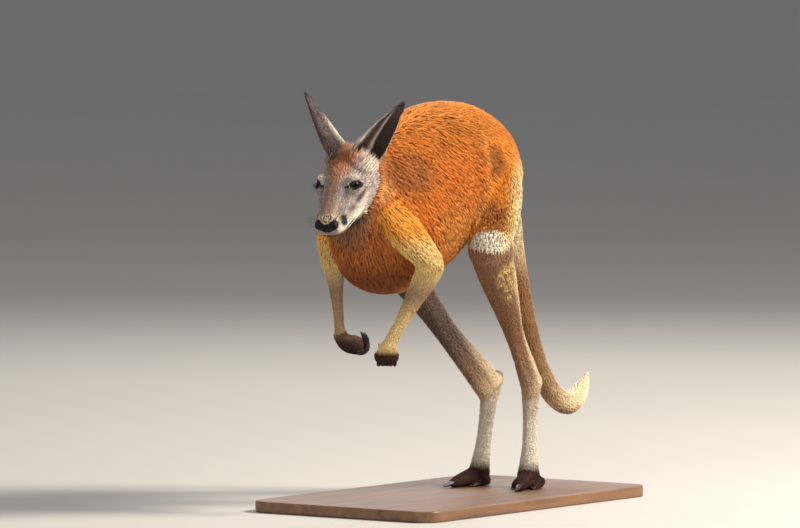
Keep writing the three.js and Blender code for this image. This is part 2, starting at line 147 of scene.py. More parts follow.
def rings(tube, domes, sides):
    """Points at angle a: centre + cos a * width * side + sin a * (rise or fall) * up, and end domes."""
    angle = np.arange(sides) / sides * 2 * np.pi
    across = np.cos(angle)[None, :] * tube.width[:, None]
    height = np.sin(angle)[None, :]
    lift = height * np.where(height > 0, tube.rise[:, None], tube.fall[:, None])
    body = tube.centre[:, None] + across[..., None] * tube.side[:, None] + lift[..., None] * tube.up[:, None]
    turn = np.radians([88.0, 72.0, 54.0, 36.0, 18.0])[:, None, None]
    caps = []
    for end, away in ((0, -1.0), (-1, 1.0)):
        onward = away * np.cross(tube.side[end], tube.up[end])
        flat = body[end] - tube.centre[end]
        caps.append(tube.centre[end] + flat * np.cos(turn) + onward * domes[end] * np.sin(turn))
    return np.concatenate([caps[0], body, caps[1][::-1]])


def sheet_faces(rows, columns, closed=True):
    """Quads between neighbouring points of a grid that is stored row after row."""
    row = np.arange(rows - 1)[:, None]
    column = np.arange(columns if closed else columns - 1)[None, :]
    beside = (column + 1) % columns
    quads = [row * columns + column, row * columns + beside, (row + 1) * columns + beside, (row + 1) * columns + column]
    return np.stack(np.broadcast_arrays(*quads), axis=-1).reshape(-1, 4)


def closed_surface(grid):
    """A grid of rings made watertight: quads between the rings and a fan of triangles at each end."""
    rows, columns = grid.shape[:2]
    around = np.arange(columns)
    beside = (around + 1) % columns
    poles = np.array([grid[0].mean(0), grid[-1].mean(0)])
    points = np.concatenate([grid.reshape(-1, 3), poles])
    last = (rows - 1) * columns
    start = np.stack([np.full(columns, rows * columns), beside, around], axis=1)
    end = np.stack([np.full(columns, rows * columns + 1), last + around, last + beside], axis=1)
    return points, sheet_faces(rows, columns), np.concatenate([start, end])


# %% [markdown]
# ## The body in numbers
#
# These are the ovals of every part of the body, from a back that rises from the tail to the hips
# and falls to the shoulders, down to the single fingers. They are the outline of the animal with its
# coat on. Limbs are given for the left side and mirrored.

# %% Trunk, neck and tail
TRUNK = [
    # back x, z, belly x, z, half-width, widest place, y
    [-20, 642, -4, 594, 25, 0.5, 0],
    [-2, 684, 26, 564, 44, 0.5, 0],
    [36, 721, 68, 552, 67, 0.5, 0],
    [94, 751, 114, 542, 93, 0.48, 0],
    [165, 774, 158, 524, 117, 0.47, 0],
    [245, 778, 210, 491, 128, 0.47, 0],
    [322, 766, 268, 447, 127, 0.46, 0],
    [390, 738, 340, 411, 117, 0.46, 0],
    [436, 710, 420, 402, 104, 0.47, 0],
    [466, 690, 490, 420, 90, 0.48, 0],
    [484, 668, 532, 462, 68, 0.46, 0],
]
NECK = [
    [436, 700, 470, 450, 70, 0.5, 0],
    [456, 697, 514, 468, 72, 0.52, 1],
    [474, 695, 540, 502, 68, 0.54, 3],
    [490, 695, 550, 540, 58, 0.55, 6],
    [504, 697, 553, 574, 48, 0.55, 8],
    [517, 700, 558, 604, 38, 0.55, 9],
]
TAIL = [
    # x, y, z, half-width, rise, fall
    [62, 0, 648, 50, 48, 52],
    [26, 0, 608, 43, 40, 46],
    [12, 0, 568, 35, 33, 36],
    [-3, 0, 520, 31, 30, 31],
    [-16, 0, 471, 28, 28, 28],
    [-31, 0, 420, 26.5, 26.5, 26.5],
    [-49, 0, 366, 25, 25, 25],
    [-72, 0, 306, 24, 24, 24],
    [-102, 0, 246, 23, 23, 23],
    [-138, 0, 198, 23, 23, 23],
    [-176, 0, 166, 24, 24, 24],
    [-216, 0, 152, 24.5, 24.5, 24.5],
    [-248, 0, 164, 21.5, 21.5, 21.5],
    [-271, 0, 186, 15.5, 15.5, 15.5],
    [-286, 0, 208, 7, 7, 7],
]
ACROSS = np.array([0.0, 1.0, 0.0])

# %% Head
HEAD_YAW, HEAD_PITCH = math.radians(11), math.radians(51)
EYES_MIDPOINT = np.array([586.0, 14.0, 624.0])
MUZZLEWARD = np.array([math.cos(HEAD_PITCH) * math.cos(HEAD_YAW),
                       math.cos(HEAD_PITCH) * math.sin(HEAD_YAW), -math.sin(HEAD_PITCH)])
CROWNWARD = np.array([math.sin(HEAD_PITCH) * math.cos(HEAD_YAW),
                      math.sin(HEAD_PITCH) * math.sin(HEAD_YAW), math.cos(HEAD_PITCH)])
LEFTWARD = np.array([-math.sin(HEAD_YAW), math.cos(HEAD_YAW), 0.0])
HEAD_AXES = np.stack([MUZZLEWARD, LEFTWARD, CROWNWARD])


def on_head(places):
    """Head places (along the muzzle, left, towards the forehead) in the ground frame."""
    return EYES_MIDPOINT + np.asarray(places, float) @ HEAD_AXES


def head_places(points):
    """The other way round: ground-frame points as places on the head."""
    return (points - EYES_MIDPOINT) @ HEAD_AXES.T


HEAD = [
    # along, forehead, jaw, half-width, widest place
    [-90, 0, -55, 33, 0.5],
    [-70, 14, -76, 47, 0.5],
    [-46, 22, -85, 54.5, 0.5],
    [-20, 24, -84, 55, 0.5],
    [6, 22, -79, 49, 0.52],
    [30, 17, -72, 42, 0.52],
    [58, 13, -62, 35, 0.5],
    [82, 10, -47, 31.5, 0.5],
    [96, 4, -37, 26, 0.5],
]
BROW = [[-22, 3, 6, 7], [-8, 4, 12, 15], [6, 1, 12, 14], [17, -3, 6, 7]]
BROW_SPREAD = 32.5


def head_ovals(rows, middle=0.0):
    """Ovals square to the muzzle, from [along, forehead, jaw, half-width, widest place]."""
    along, forehead, jaw, width, widest = smooth_rows(rows).T
    depth = forehead - jaw
    centre = on_head(np.stack([along, np.full_like(along, middle), jaw + depth * widest], axis=1))
    count = (len(along), 1)
    return Tube(centre, np.tile(LEFTWARD, count), np.tile(CROWNWARD, count),
                width, depth * (1 - widest), depth * widest)


# %% Legs
THIGH = [
    [92, 26, 690, 34, 60, 60],
    [122, 50, 652, 47, 72, 72],
    [155, 81, 606, 52, 70, 70],
    [190, 102, 562, 49, 67, 67],
    [214, 115, 524, 44, 60, 59],
    [228, 121, 497, 41, 53, 54],
    [234, 124, 480, 38, 46, 48],
]
KNEE = np.array([236.0, 125.0, 490.0])
ANKLE = {"left": np.array([-6.0, 57.0, 190.0]), "right": np.array([-14.0, 55.0, 184.0])}
SHIN = [
    # share of the way from knee to ankle, half-width, to the front, to the back
    [0.0, 39, 50, 45],
    [0.1, 39, 47, 44],
    [0.2, 36.5, 42, 41],
    [0.32, 31, 36, 34],
    [0.45, 25, 29, 27],
    [0.6, 17.5, 27, 27],
    [0.75, 15, 26, 34],
    [0.88, 17, 25, 42],
    [1.0, 18.5, 24, 43],
]
FOOT = [
    # distance up from the ball, shift to the front, half-width, to the front, to the back
    [201, -9, 12.5, 11, 13],
    [191, -8, 16, 17, 16],
    [178, -1, 19, 25, 21],
    [152, 4, 18.5, 21, 20],
    [122, 3, 16, 18.5, 18],
    [84, 1, 15, 18, 18],
    [50, 0, 16, 18, 18],
    [22, 0, 19.5, 19, 20],
    [0, 0, 23, 20, 21],
]
TOES = {
    # offset across the foot, then rows of: along the foot, half-width, height
    "main": (0.0, [[-6, 21, 40], [20, 20, 37], [46, 17.5, 31], [70, 14.5, 25], [90, 10, 18]]),
    "outer": (24.0, [[-8, 10, 22], [14, 10.5, 22], [34, 9, 18], [50, 6, 12]]),
    "inner": (-21.0, [[-4, 8, 20], [16, 8, 18], [34, 7, 15], [46, 4.5, 10]]),
}
TOE_CLAWS = {
    # toe, start along the foot, length, half-width, height, offset from the toe's line
    "main": ("main", 82, 40, 7.5, 13, 0.0),
    "outer": ("outer", 45, 22, 4, 8, 0.0),
    "inner_a": ("inner", 40, 16, 2.4, 6, 3.2),
    "inner_b": ("inner", 40, 16, 2.4, 6, -3.2),
}
BALL = {"left": np.array([6.0, 58.0, 27.0]), "right": np.array([12.0, 58.0, 27.0])}
TOE_OUT = {"left": 23.0, "right": 1.0}
FOOT_LEAN = {"left": 10.0, "right": 15.0}
SHIN_TURN = 13.0

# %% Arms
UPPER_ARM = [
    [494, 58, 584, 24, 32, 34],
    [478, 76, 550, 31, 38, 40],
    [456, 97, 514, 30, 37, 37],
    [436, 111, 487, 28, 31, 31],
    [420, 118, 468, 25, 25, 26],
]
ELBOW = np.array([420.0, 119.0, 466.0])
WRIST = {"left": np.array([492.0, 60.0, 303.0]), "right": np.array([480.0, 60.0, 322.0])}
FOREARM = [
    [0.0, 25, 23, 22],
    [0.12, 25.5, 21, 20],
    [0.3, 22, 15.5, 15.5],
    [0.45, 18.5, 12.5, 12.5],
    [0.65, 14.5, 10.5, 10.5],
    [0.85, 14, 10.5, 10.5],
    [1.0, 15.5, 11, 11],
]
HAND_TURN = 35.0
PALM = [[-2, -8, 15, 12], [6, 5, 20, 16], [18, 13, 24.5, 19], [30, 15.5, 25, 19.5], [41, 16, 22, 16.5]]
FINGER = [[26, 28, 4.2, 5.4], [41, 30, 4.2, 5.8], [50, 23, 4.0, 5.4], [52, 11, 3.5, 3.8]]
FINGER_CLAW = [[52, 15, 2.4, 2.9], [52, 3, 2.0, 2.2], [46, -9, 0.5, 0.5]]
FINGER_SPREAD = (-15.6, -7.8, 0.0, 7.8, 15.6)


def mirrored(rows, sign):
    """Left-side rows for the other side: y changes sign."""
    rows = np.array(rows, float)
    rows[:, 1] *= sign
    return rows


def outward(degrees, sign):
    """The level direction that a limb's half-width runs along, turned out from straight across."""
    turn = math.radians(degrees)
    return np.array([-math.sin(turn) * sign, math.cos(turn), 0.0])


def between(start, end, girths, sign):
    """Rows along the straight line from start to end, at the shares given by the girths."""
    girths = np.asarray(girths, float)
    places = start + (end - start) * girths[:, :1]
    return mirrored(np.hstack([places, girths[:, 1:]]), sign)


# %% Feet and hands have axes of their own
class FootAxes:
    """The ball of a foot, the way its toes point, the way across it and the way up to its heel."""

    def __init__(self, name, sign):
        lean = math.radians(FOOT_LEAN[name])
        self.across = outward(TOE_OUT[name], sign)
        self.ahead = np.array([self.across[1], -self.across[0], 0.0])
        self.ball = BALL[name] * [1, sign, 1]
        self.heelward = np.array([0, 0, math.cos(lean)]) - self.ahead * math.sin(lean)
        self.instep = unit(self.ahead - self.heelward * (self.heelward @ self.ahead))
        self.sign = sign

    def on_ground(self, along, across, height):
        """A place beside the ball: along the foot, outwards across it, and above the ground."""
        flat = self.ball[None] * [1, 1, 0] + np.outer(along, self.ahead)
        return flat + np.outer(across * self.sign, self.across) + np.outer(height, [0, 0, 1.0])


class HandAxes:
    """A limp hand: the wrist, the way the hand reaches back and in, and the way across it."""

    def __init__(self, name, sign):
        self.across = outward(HAND_TURN, sign)
        self.backward = np.array([-self.across[1], self.across[0], 0.0])
        self.wrist = WRIST[name] * [1, sign, 1]

    def chain(self, rows, across):
        """Ovals along [reach back, drop below the wrist, half-breadth, half-thickness]."""
        rows = np.asarray(rows, float)
        places = self.wrist + np.outer(rows[:, 0], self.backward) + across * self.across
        places[:, 2] -= rows[:, 1]
        return limb(np.hstack([places, rows[:, 2:], rows[:, 3:]]), self.across)


# %% [markdown]
# ## One skin
#
# Two dozen lofts that run into each other are not a body yet. Each loft is turned into a field: a
# block of small cells that hold the distance to its surface. Fields are easy to join, because the
# smaller of two distances is their union, and a minimum with a rounded corner leaves the soft hollow
# that skin has where a leg leaves the trunk. Adding the coat's depth to a field shrinks it, so the
# skin ends up inside the outline. The zero level of the joined field is then meshed once, without
# any seam.

# %% The field
CELL = 2.0            # edge of a cell
REACH = 24.0          # distances are known this far from a surface
FIELD_LOW = np.array([-330.0, -190.0, -24.0])
FIELD_HIGH = np.array([700.0, 190.0, 812.0])


class Field:
    """Distances on a block of cells, and the number of the part that is nearest in each."""

    def __init__(self):
        self.low = np.floor(FIELD_LOW / CELL).astype(int)
        self.size = np.ceil(FIELD_HIGH / CELL).astype(int) - self.low
        self.values = np.full(self.size, REACH, np.float32)
        self.part = np.zeros(self.size, np.int8)

    def join(self, number, surface, depth, blend):
        """Rounded minimum of two distances a and b: where they differ by less than blend, the share
        h = (1 + (a - b) / blend) / 2 mixes them, less blend h (1 - h)."""
        points, quads, triangles = surface
        grid = openvdb.FloatGrid.createLevelSetFromPolygons(
            points.astype(np.float32), triangles=triangles.astype(np.uint32), quads=quads.astype(np.uint32),
            transform=openvdb.createLinearTransform(voxelSize=CELL), halfWidth=REACH / CELL)
        margin = int(REACH / CELL)
        first = np.maximum(np.floor(points.min(0) / CELL).astype(int) - margin, self.low)
        last = np.minimum(np.ceil(points.max(0) / CELL).astype(int) + margin, self.low + self.size)
        block = np.empty(last - first, np.float32)
        grid.copyToArray(block, ijk=tuple(int(v) for v in first))
        block += depth
        window = tuple(slice(a, b) for a, b in zip(first - self.low, last - self.low))
        old = self.values[window]
        self.part[window] = np.where(block < old, number, self.part[window])
        near = np.clip(1.4 - np.maximum(old, block) / (0.6 * REACH), 0.02, 1.0)
        corner = blend * near
        share = np.clip(0.5 + 0.5 * (old - block) / corner, 0.0, 1.0)
        joined = old + (block - old) * share - corner * share * (1.0 - share)
        self.values[window] = np.clip(joined, -REACH, REACH)

    def surface(self):
        """The zero level as points and quads that face outwards."""
        grid = openvdb.FloatGrid(REACH)
        grid.copyFromArray(self.values, ijk=tuple(int(v) for v in self.low))
        grid.transform = openvdb.createLinearTransform(voxelSize=CELL)
        grid.gridClass = openvdb.GridClass.LEVEL_SET
        points, quads = grid.convertToQuads(isovalue=0.0)
        points, quads = points.astype(float), quads.astype(np.int64)
        corner = points[quads]
        volume = np.einsum("ij,ij->i", corner[:, 0], np.cross(corner[:, 1], corner[:, 2])).sum()
        return points, (quads if volume > 0 else quads[:, ::-1])

    def part_at(self, points):
        """The part number of the cell that each point lies in."""
        cell = np.clip(np.rint(points / CELL).astype(int) - self.low, 0, self.size - 1)
        return self.part[cell[:, 0], cell[:, 1], cell[:, 2]]


# %% Parts that make up the skin
PARTS = []            # name, tube, domes at its two ends, depth of the coat, rounding where it joins
PARTS.append(("trunk", slices(TRUNK), (9, 24), 8.5, 1.0))
for name, sign in SIDES:
    foot, hand = FootAxes(name, sign), HandAxes(name, sign)
    shin_pole = outward(SHIN_TURN, sign)
    rows = np.asarray(FOOT, float)
    up_foot = foot.ball + np.outer(rows[:, 0], foot.heelward) + np.outer(rows[:, 1], foot.instep)
    PARTS += [
        (f"thigh_{name}", limb(mirrored(THIGH, sign), ACROSS), (0, 24), 7.0, 26.0),
        (f"shin_{name}", limb(between(KNEE, ANKLE[name], SHIN, sign), shin_pole), (16, 0), 3.4, 26.0),
        (f"foot_{name}", limb(np.hstack([up_foot, rows[:, 2:]]), foot.across), (9, 12), 2.2, 12.0),
    ]
    for key, (offset, toe) in TOES.items():
        along, width, height = smooth_rows(toe).T
        centre = foot.on_ground(along, offset, height * 0.45)
        count = (len(along), 1)
        tube = Tube(centre, np.tile(foot.across, count), np.tile([0, 0, 1.0], count),
                    width, height * 0.55, height * 0.5)
        PARTS.append((f"toe_{name}", tube, (0, 5), 1.4, 7.0))
    PARTS += [
        (f"upper_arm_{name}", limb(mirrored(UPPER_ARM, sign), ACROSS), (12, 12), 5.5, 20.0),
        (f"forearm_{name}", limb(between(ELBOW, WRIST[name], FOREARM, sign), hand.across), (12, 0), 2.6, 14.0),
        (f"hand_{name}", hand.chain(PALM, 0.0), (0, 4), 1.8, 8.0),
    ]
    for across in FINGER_SPREAD:
        PARTS.append((f"hand_{name}", hand.chain(FINGER, across), (0, 2), 0.9, 2.0))
PARTS.append(("tail", limb(TAIL, ACROSS), (0, 7), 4.0, 24.0))
PARTS.append(("neck", slices(NECK), (0, 0), 7.5, 22.0))
PARTS.append(("head", head_ovals(HEAD), (12, 8), 2.6, 22.0))
for name, sign in SIDES:
    rows = np.asarray(BROW, float)
    brow = np.stack([rows[:, 0], rows[:, 1] + rows[:, 3], rows[:, 1] - rows[:, 3],
                     rows[:, 2], np.full(len(rows), 0.5)], axis=1)
    PARTS.append(("head", head_ovals(brow, sign * BROW_SPREAD), (0, 0), 2.4, 8.0))

PART_NAMES = ["none"] + list(dict.fromkeys(part[0] for part in PARTS))
field = Field()
for name, tube, domes, depth, blend in PARTS:
    surface = closed_surface(rings(tube, domes, 40))
    field.join(PART_NAMES.index(name), surface, depth, blend)
print("field of", field.size.tolist(), "cells from", len(PARTS), "lofts")

# %% [markdown]
# ## Eyes first
#
# The head is shaped round its eyeballs, so their size and place come before the face. A kangaroo's
# eye looks out sideways and a little up, and its slit runs back along the head. Each eye has three
# axes: the way it looks, the way from its inner to its outer corner, and the way up to the brow.

# %% Eye axes
EYE_RADIUS = 14.2
EYE_PLACE = np.array([0.0, 31.0, 0.5])       # on the head, for the left eye
LID_THICKNESS = 1.7


class EyeAxes:
    """Centre, look, outward (inner to outer corner) and browward directions of one eye."""

    def __init__(self, sign):
        flip = np.array([1.0, sign, 1.0])
        self.sign = sign
        self.centre = on_head(EYE_PLACE * flip)
        self.look = unit(np.array([0.10, 0.83, 0.55]) * flip) @ HEAD_AXES
        slit = (np.array([-0.72, 0.38, -0.58]) * flip) @ HEAD_AXES
        self.slit = unit(slit - self.look * (slit @ self.look))
        self.browward = np.cross(self.look, self.slit) * -sign

    def places(self, points):
        """Ground-frame points as (along the slit, towards the brow, along the look)."""
        return (points - self.centre) @ np.stack([self.slit, self.browward, self.look]).T

    def ground(self, places):
        """The other way round."""
        return self.centre + places @ np.stack([self.slit, self.browward, self.look])


EYES = {name: EyeAxes(sign) for name, sign in SIDES}
SLIT_HALF = 13.0
SLIT_UP, SLIT_DOWN = 5.7, 4.6


def slit_edge(turn):
    """The opening between the lids: cos a times its half length, and sin a sharpened to the power
    1.35 times its height, which is greater above than below."""
    rise = np.abs(np.sin(turn)) ** 1.35 * np.sign(np.sin(turn))
    return SLIT_HALF * np.cos(turn), rise * np.where(rise > 0, SLIT_UP, SLIT_DOWN)


orbits = []
for name, sign in SIDES:
    ball_turn = np.linspace(0.02, math.pi - 0.02, 24)[:, None]
    ball_around = (np.arange(32) / 32 * 2 * math.pi)[None, :]
    sphere = np.stack(np.broadcast_arrays(np.sin(ball_turn) * np.cos(ball_around),
                                          np.sin(ball_turn) * np.sin(ball_around), np.cos(ball_turn)), axis=-1)
    orbits.append(closed_surface(EYES[name].centre + sphere * (EYE_RADIUS + LID_THICKNESS)))
    field.join(PART_NAMES.index("head"), orbits[-1], 0.0, 9.0)
skin_points, skin_quads = field.surface()
print("skin with orbits", len(skin_points), "points,", len(skin_quads), "quads")

# %% [markdown]
# ## A lighter mesh where nothing small happens
#
# Two-millimetre cells follow the face, hands and toes, but are wasted on a broad flank. The Decimate
# modifier merges faces and takes a vertex group that says where it may not: the group holds the
# small-featured parts, and the rest is thinned until the whole skin is light enough.

# %% Thin the broad parts
SKIN_TRIANGLES = 158000
FINE_PARTS = ["head", "hand_left", "hand_right", "toe_left", "toe_right"]

skin = build_object("skin", skin_points, [skin_quads])
fine = np.isin(field.part_at(skin_points), [PART_NAMES.index(part) for part in FINE_PARTS])
skin.vertex_groups.new(name="fine").add(np.nonzero(fine)[0].tolist(), 1.0, "REPLACE")
thin = skin.modifiers.new("thin", "DECIMATE")
thin.ratio = SKIN_TRIANGLES / (2 * len(skin_quads))
thin.vertex_group = "fine"
thin.vertex_group_factor = 10.0
thin.invert_vertex_group = True
thinned = bpy.data.meshes.new_from_object(skin.evaluated_get(bpy.context.evaluated_depsgraph_get()))
thinned.calc_loop_triangles()
skin_triangles = np.empty(len(thinned.loop_triangles) * 3, np.int32)
thinned.loop_triangles.foreach_get("vertices", skin_triangles)
skin_triangles = skin_triangles.reshape(-1, 3)
flat = np.empty(len(thinned.vertices) * 3, np.float32)
thinned.vertices.foreach_get("co", flat)
skin_points = flat.reshape(-1, 3).astype(float) / MM - GROUND
bpy.data.objects.remove(skin)
bpy.data.meshes.remove(thinned)
print("thinned skin", len(skin_points), "points,", len(skin_triangles), "triangles")


# %% [markdown]
# ## Modelling with strokes
#
# The joined ovals are smooth all over. Tendons, folds, lips and the hollow under the eye are worked
# in the way a sculptor would: a stroke is a short path, and every point near it moves along its own
# normal by an amount that fades with the distance from the path.

# %% Strokes
def point_normals(points, triangles):
    """The sum of the cross products of the triangles round each point, at length one."""
    a, b, c = (points[triangles[:, i]] for i in range(3))
    cross = np.cross(b - a, c - a)
    total = np.zeros_like(points)
    for i in range(3):
        for axis in range(3):
            total[:, axis] += np.bincount(triangles[:, i], weights=cross[:, axis], minlength=len(points))
    return unit(total)


def near_path(points, path, reach):
    """The distance of each point from a smooth path through the given places, up to a reach."""
    path = smooth_rows(path, 8)
    distance = np.full(len(points), reach)
    low, high = path.min(0) - reach, path.max(0) + reach
    close = np.nonzero(np.all((points > low) & (points < high), axis=1))[0]
    if len(close):
        start, step = path[:-1], np.diff(path, axis=0)
        offset = points[close][:, None] - start[None]
        share = np.clip((offset * step).sum(-1) / np.maximum((step ** 2).sum(-1), 1e-9), 0.0, 1.0)
        gap = np.linalg.norm(offset - share[..., None] * step[None], axis=-1).min(axis=1)
        distance[close] = np.minimum(gap, reach)
    return distance


def stroke(points, normals, path, radius, height):
    """Moves points by height times e to the minus (distance / radius) squared, along the normals."""
    distance = near_path(points, path, 3.0 * radius)
    push = height * (np.exp(-(distance / radius) ** 2) - math.exp(-9.0))
    return points + normals * push[:, None]


FACE_STROKES = [
    # path on the head's left half, radius, height
    ([[98, 0, -26], [95, 12, -27.5], [88, 21, -29.5], [76, 28, -33], [60, 33, -39], [46, 37, -45]], 2.2, -3.6),
    ([[92, 12, -20], [84, 23, -21], [74, 29, -23]], 8.0, 3.0),
    ([[90, 0, -38], [82, 10, -42]], 7.0, 1.8),
    ([[66, 25, 4], [52, 28, 4], [36, 31, 6]], 7.0, -2.8),
    ([[24, 30, 15], [36, 23, 14], [52, 17, 12], [68, 13, 10]], 5.0, 1.4),
    ([[18, 37, -13], [8, 44, -17], [-6, 49, -20], [-16, 52, -22]], 3.6, -3.0),
    ([[22, 44, -26], [4, 50, -32], [-18, 54, -36]], 10.0, 1.6),
    ([[-4, 36, 20], [-18, 41, 16]], 6.0, 1.8),
    ([[60, 31, -22], [40, 38, -28], [22, 44, -38]], 7.0, -1.8),
    ([[-30, 6, 24], [-56, 6, 19]], 9.0, -1.2),
    ([[-8, 47, 6], [-26, 50, 2]], 5.0, -1.6),
]
LEG_STROKES = [
    # path as share down the shin, across, to the front; radius, height
    ([[0.52, 15, -9], [0.7, 13, -9], [0.86, 15, -12], [0.96, 16, -13]], 6.5, -4.6),
    ([[0.52, -15, -9], [0.7, -13, -9], [0.86, -15, -12], [0.96, -16, -13]], 6.5, -4.6),
    ([[0.05, 34, -14], [0.3, 30, -14], [0.46, 24, -12]], 9.0, -2.4),
    ([[0.2, 12, 38], [0.5, 8, 28], [0.8, 6, 24]], 5.0, 1.6),
]
FOOT_STROKES = [
    # path as distance up from the ball, across, to the front; radius, height
    ([[150, 12, 14], [90, 9, 14], [30, 11, 16]], 4.5, -1.6),
    ([[150, -12, 14], [90, -9, 14], [30, -11, 16]], 4.5, -1.6),
    ([[190, 15, 2], [176, 18, 4]], 7.0, 1.8),
    ([[190, -15, 2], [176, -18, 4]], 7.0, 1.8),
]
BODY_STROKES = [
    # path beside the body's left half, radius, height
    ([[80, 92, 688], [104, 112, 650], [140, 124, 600], [186, 128, 552], [222, 118, 520]], 11.0, -3.4),
    ([[40, 72, 640], [70, 96, 600], [104, 112, 560], [150, 122, 520]], 16.0, 2.0),
    ([[520, 30, 560], [500, 52, 590], [478, 74, 620], [450, 92, 650]], 11.0, -2.6),
    ([[404, 112, 640], [426, 108, 590], [424, 116, 540], [404, 122, 500]], 12.0, -3.0),
    ([[512, 2, 540], [516, 1, 510], [506, 0, 470]], 6.0, -2.6),
    ([[478, 34, 470], [452, 52, 446], [420, 66, 436]], 12.0, -2.0),
    ([[330, 96, 470], [270, 108, 500], [230, 116, 530]], 14.0, -1.6),
    ([[236, 118, 488], [246, 126, 500]], 16.0, 2.2),
]

# %% Work the strokes in
for name, sign in SIDES:
    flip = np.array([1.0, sign, 1.0])
    for path, radius, height in FACE_STROKES:
        normals = point_normals(skin_points, skin_triangles)
        skin_points = stroke(skin_points, normals, on_head(np.array(path, float) * flip), radius, height)
    normals = point_normals(skin_points, skin_triangles)
    ankle, knee = ANKLE[name] * flip, KNEE * flip
    downward = unit(ankle - knee)
    shin_side = unit(outward(SHIN_TURN, sign) - downward * (downward @ outward(SHIN_TURN, sign)))
    shin_front = np.cross(downward, shin_side)
    for path, radius, height in LEG_STROKES:
        path = np.asarray(path, float)
        places = knee + np.outer(path[:, 0], ankle - knee) + np.outer(path[:, 1], shin_side)
        skin_points = stroke(skin_points, normals, places + np.outer(path[:, 2], shin_front), radius, height)
    foot = FootAxes(name, sign)
    for path, radius, height in FOOT_STROKES:
        places = foot.ball + np.asarray(path, float) @ np.stack([foot.heelward, foot.across, foot.instep])
        skin_points = stroke(skin_points, normals, places, radius, height)
    for path, radius, height in BODY_STROKES:
        skin_points = stroke(skin_points, normals, np.array(path, float) * flip, radius, height)
print("strokes", len(FACE_STROKES), "on each half of the face")

# %% [markdown]
# ## The opening for the eye
#
# Inside the almond between the lids the skin has to pass behind the eyeball. Its points there are
# drawn in towards the ball's centre. The rough edge that this leaves on two-millimetre cells is
# covered by the lids, which are fine surfaces of their own.

# %% Open the lids
OPENING_DEPTH = 0.72        # of the eyeball's radius: skin behind the opening lies at this share
for eye in EYES.values():
    along, up, out = eye.places(skin_points).T
    far = np.hypot(along, up)
    turn = np.arctan2(up, along)
    edge_x, edge_y = slit_edge(turn)
    inside = (np.hypot(along, up) < np.hypot(edge_x, edge_y) + 1.2) & (out > 0) & (far < 22)
    towards = skin_points[inside] - eye.centre
    skin_points[inside] = eye.centre + unit(towards) * EYE_RADIUS * OPENING_DEPTH
    print("opening", int(inside.sum()), "points")

# %% Lids
LID_ROWS = [
    # distance outwards from the edge, height above the eyeball
    [-1.2, -0.5], [-0.3, 0.1], [0.0, 0.7], [0.4, 1.35], [1.1, 1.85], [2.2, 2.15], [3.6, 2.2], [5.2, 2.0], [7.0, 1.2], [8.6, 0.0],
]
LID_AROUND = 112


def lid_surface(eye):
    """A ring round the opening: the edge curve grown outwards by each row's distance, laid on a ball
    that is larger than the eye by the row's height. The upper lid is fuller than the lower."""
    turn = (np.arange(LID_AROUND) / LID_AROUND * 2 * np.pi)[None, :]
    edge_x, edge_y = slit_edge(turn)
    rows = smooth_rows(LID_ROWS, 3)
    away = rows[:, :1]
    fuller = 1.0 + 0.35 * np.clip(np.sin(turn), 0, 1)
    lift = rows[:, 1:] * fuller
    normal_x = np.cos(turn) * SLIT_UP
    normal_y = np.sin(turn) * SLIT_HALF
    size = np.hypot(normal_x, normal_y)
    x = edge_x + away * normal_x / size
    y = edge_y + away * normal_y / size
    radius = EYE_RADIUS + lift
    reach = np.hypot(x, y)
    angle = reach / radius
    scale = radius * np.sin(angle) / np.maximum(reach, 1e-6)
    return eye.ground(np.stack([x * scale, y * scale, radius * np.cos(angle)], axis=-1))


lid_grids = {name: lid_surface(EYES[name]) for name, _ in SIDES}
print("lids", lid_grids["left"].shape)

# %% [markdown]
# ## Ears
#
# A kangaroo's ear is a long leaf curled into a cup. Its surface is one grid: along the ear, and
# across it first over the back and then back over the inside, so the leaf has a real thickness that
# thins out towards its rims.

# %% Ears
EAR = [
    # share of the length, half-width, depth of the cup
    [0.0, 31, 19],
    [0.14, 32, 19.5],
    [0.3, 30.5, 18],
    [0.47, 26, 14.5],
    [0.64, 21, 11],
    [0.8, 14, 7],
    [0.92, 9.5, 4.6],
    [1.0, 4, 2],
]
EAR_COAT = 0.8
EAR_WALL = 2.2
EARS = {
    "left": (on_head([-61, 34, 2]), np.array([512.0, 115.0, 784.0]), np.array([0.42, 0.9, 0.0])),
    "right": (on_head([-62, -17, 4]), np.array([546.0, -95.0, 800.0]), np.array([-0.05, -1.0, 0.0])),
}


EAR_ARC = 44                 # points across the back, and as many across the inside


def fold_line(share):
    """Where the fold inside the cup runs: from the middle of the root out to the front rim."""
    return 0.12 - 0.62 * share ** 1.2


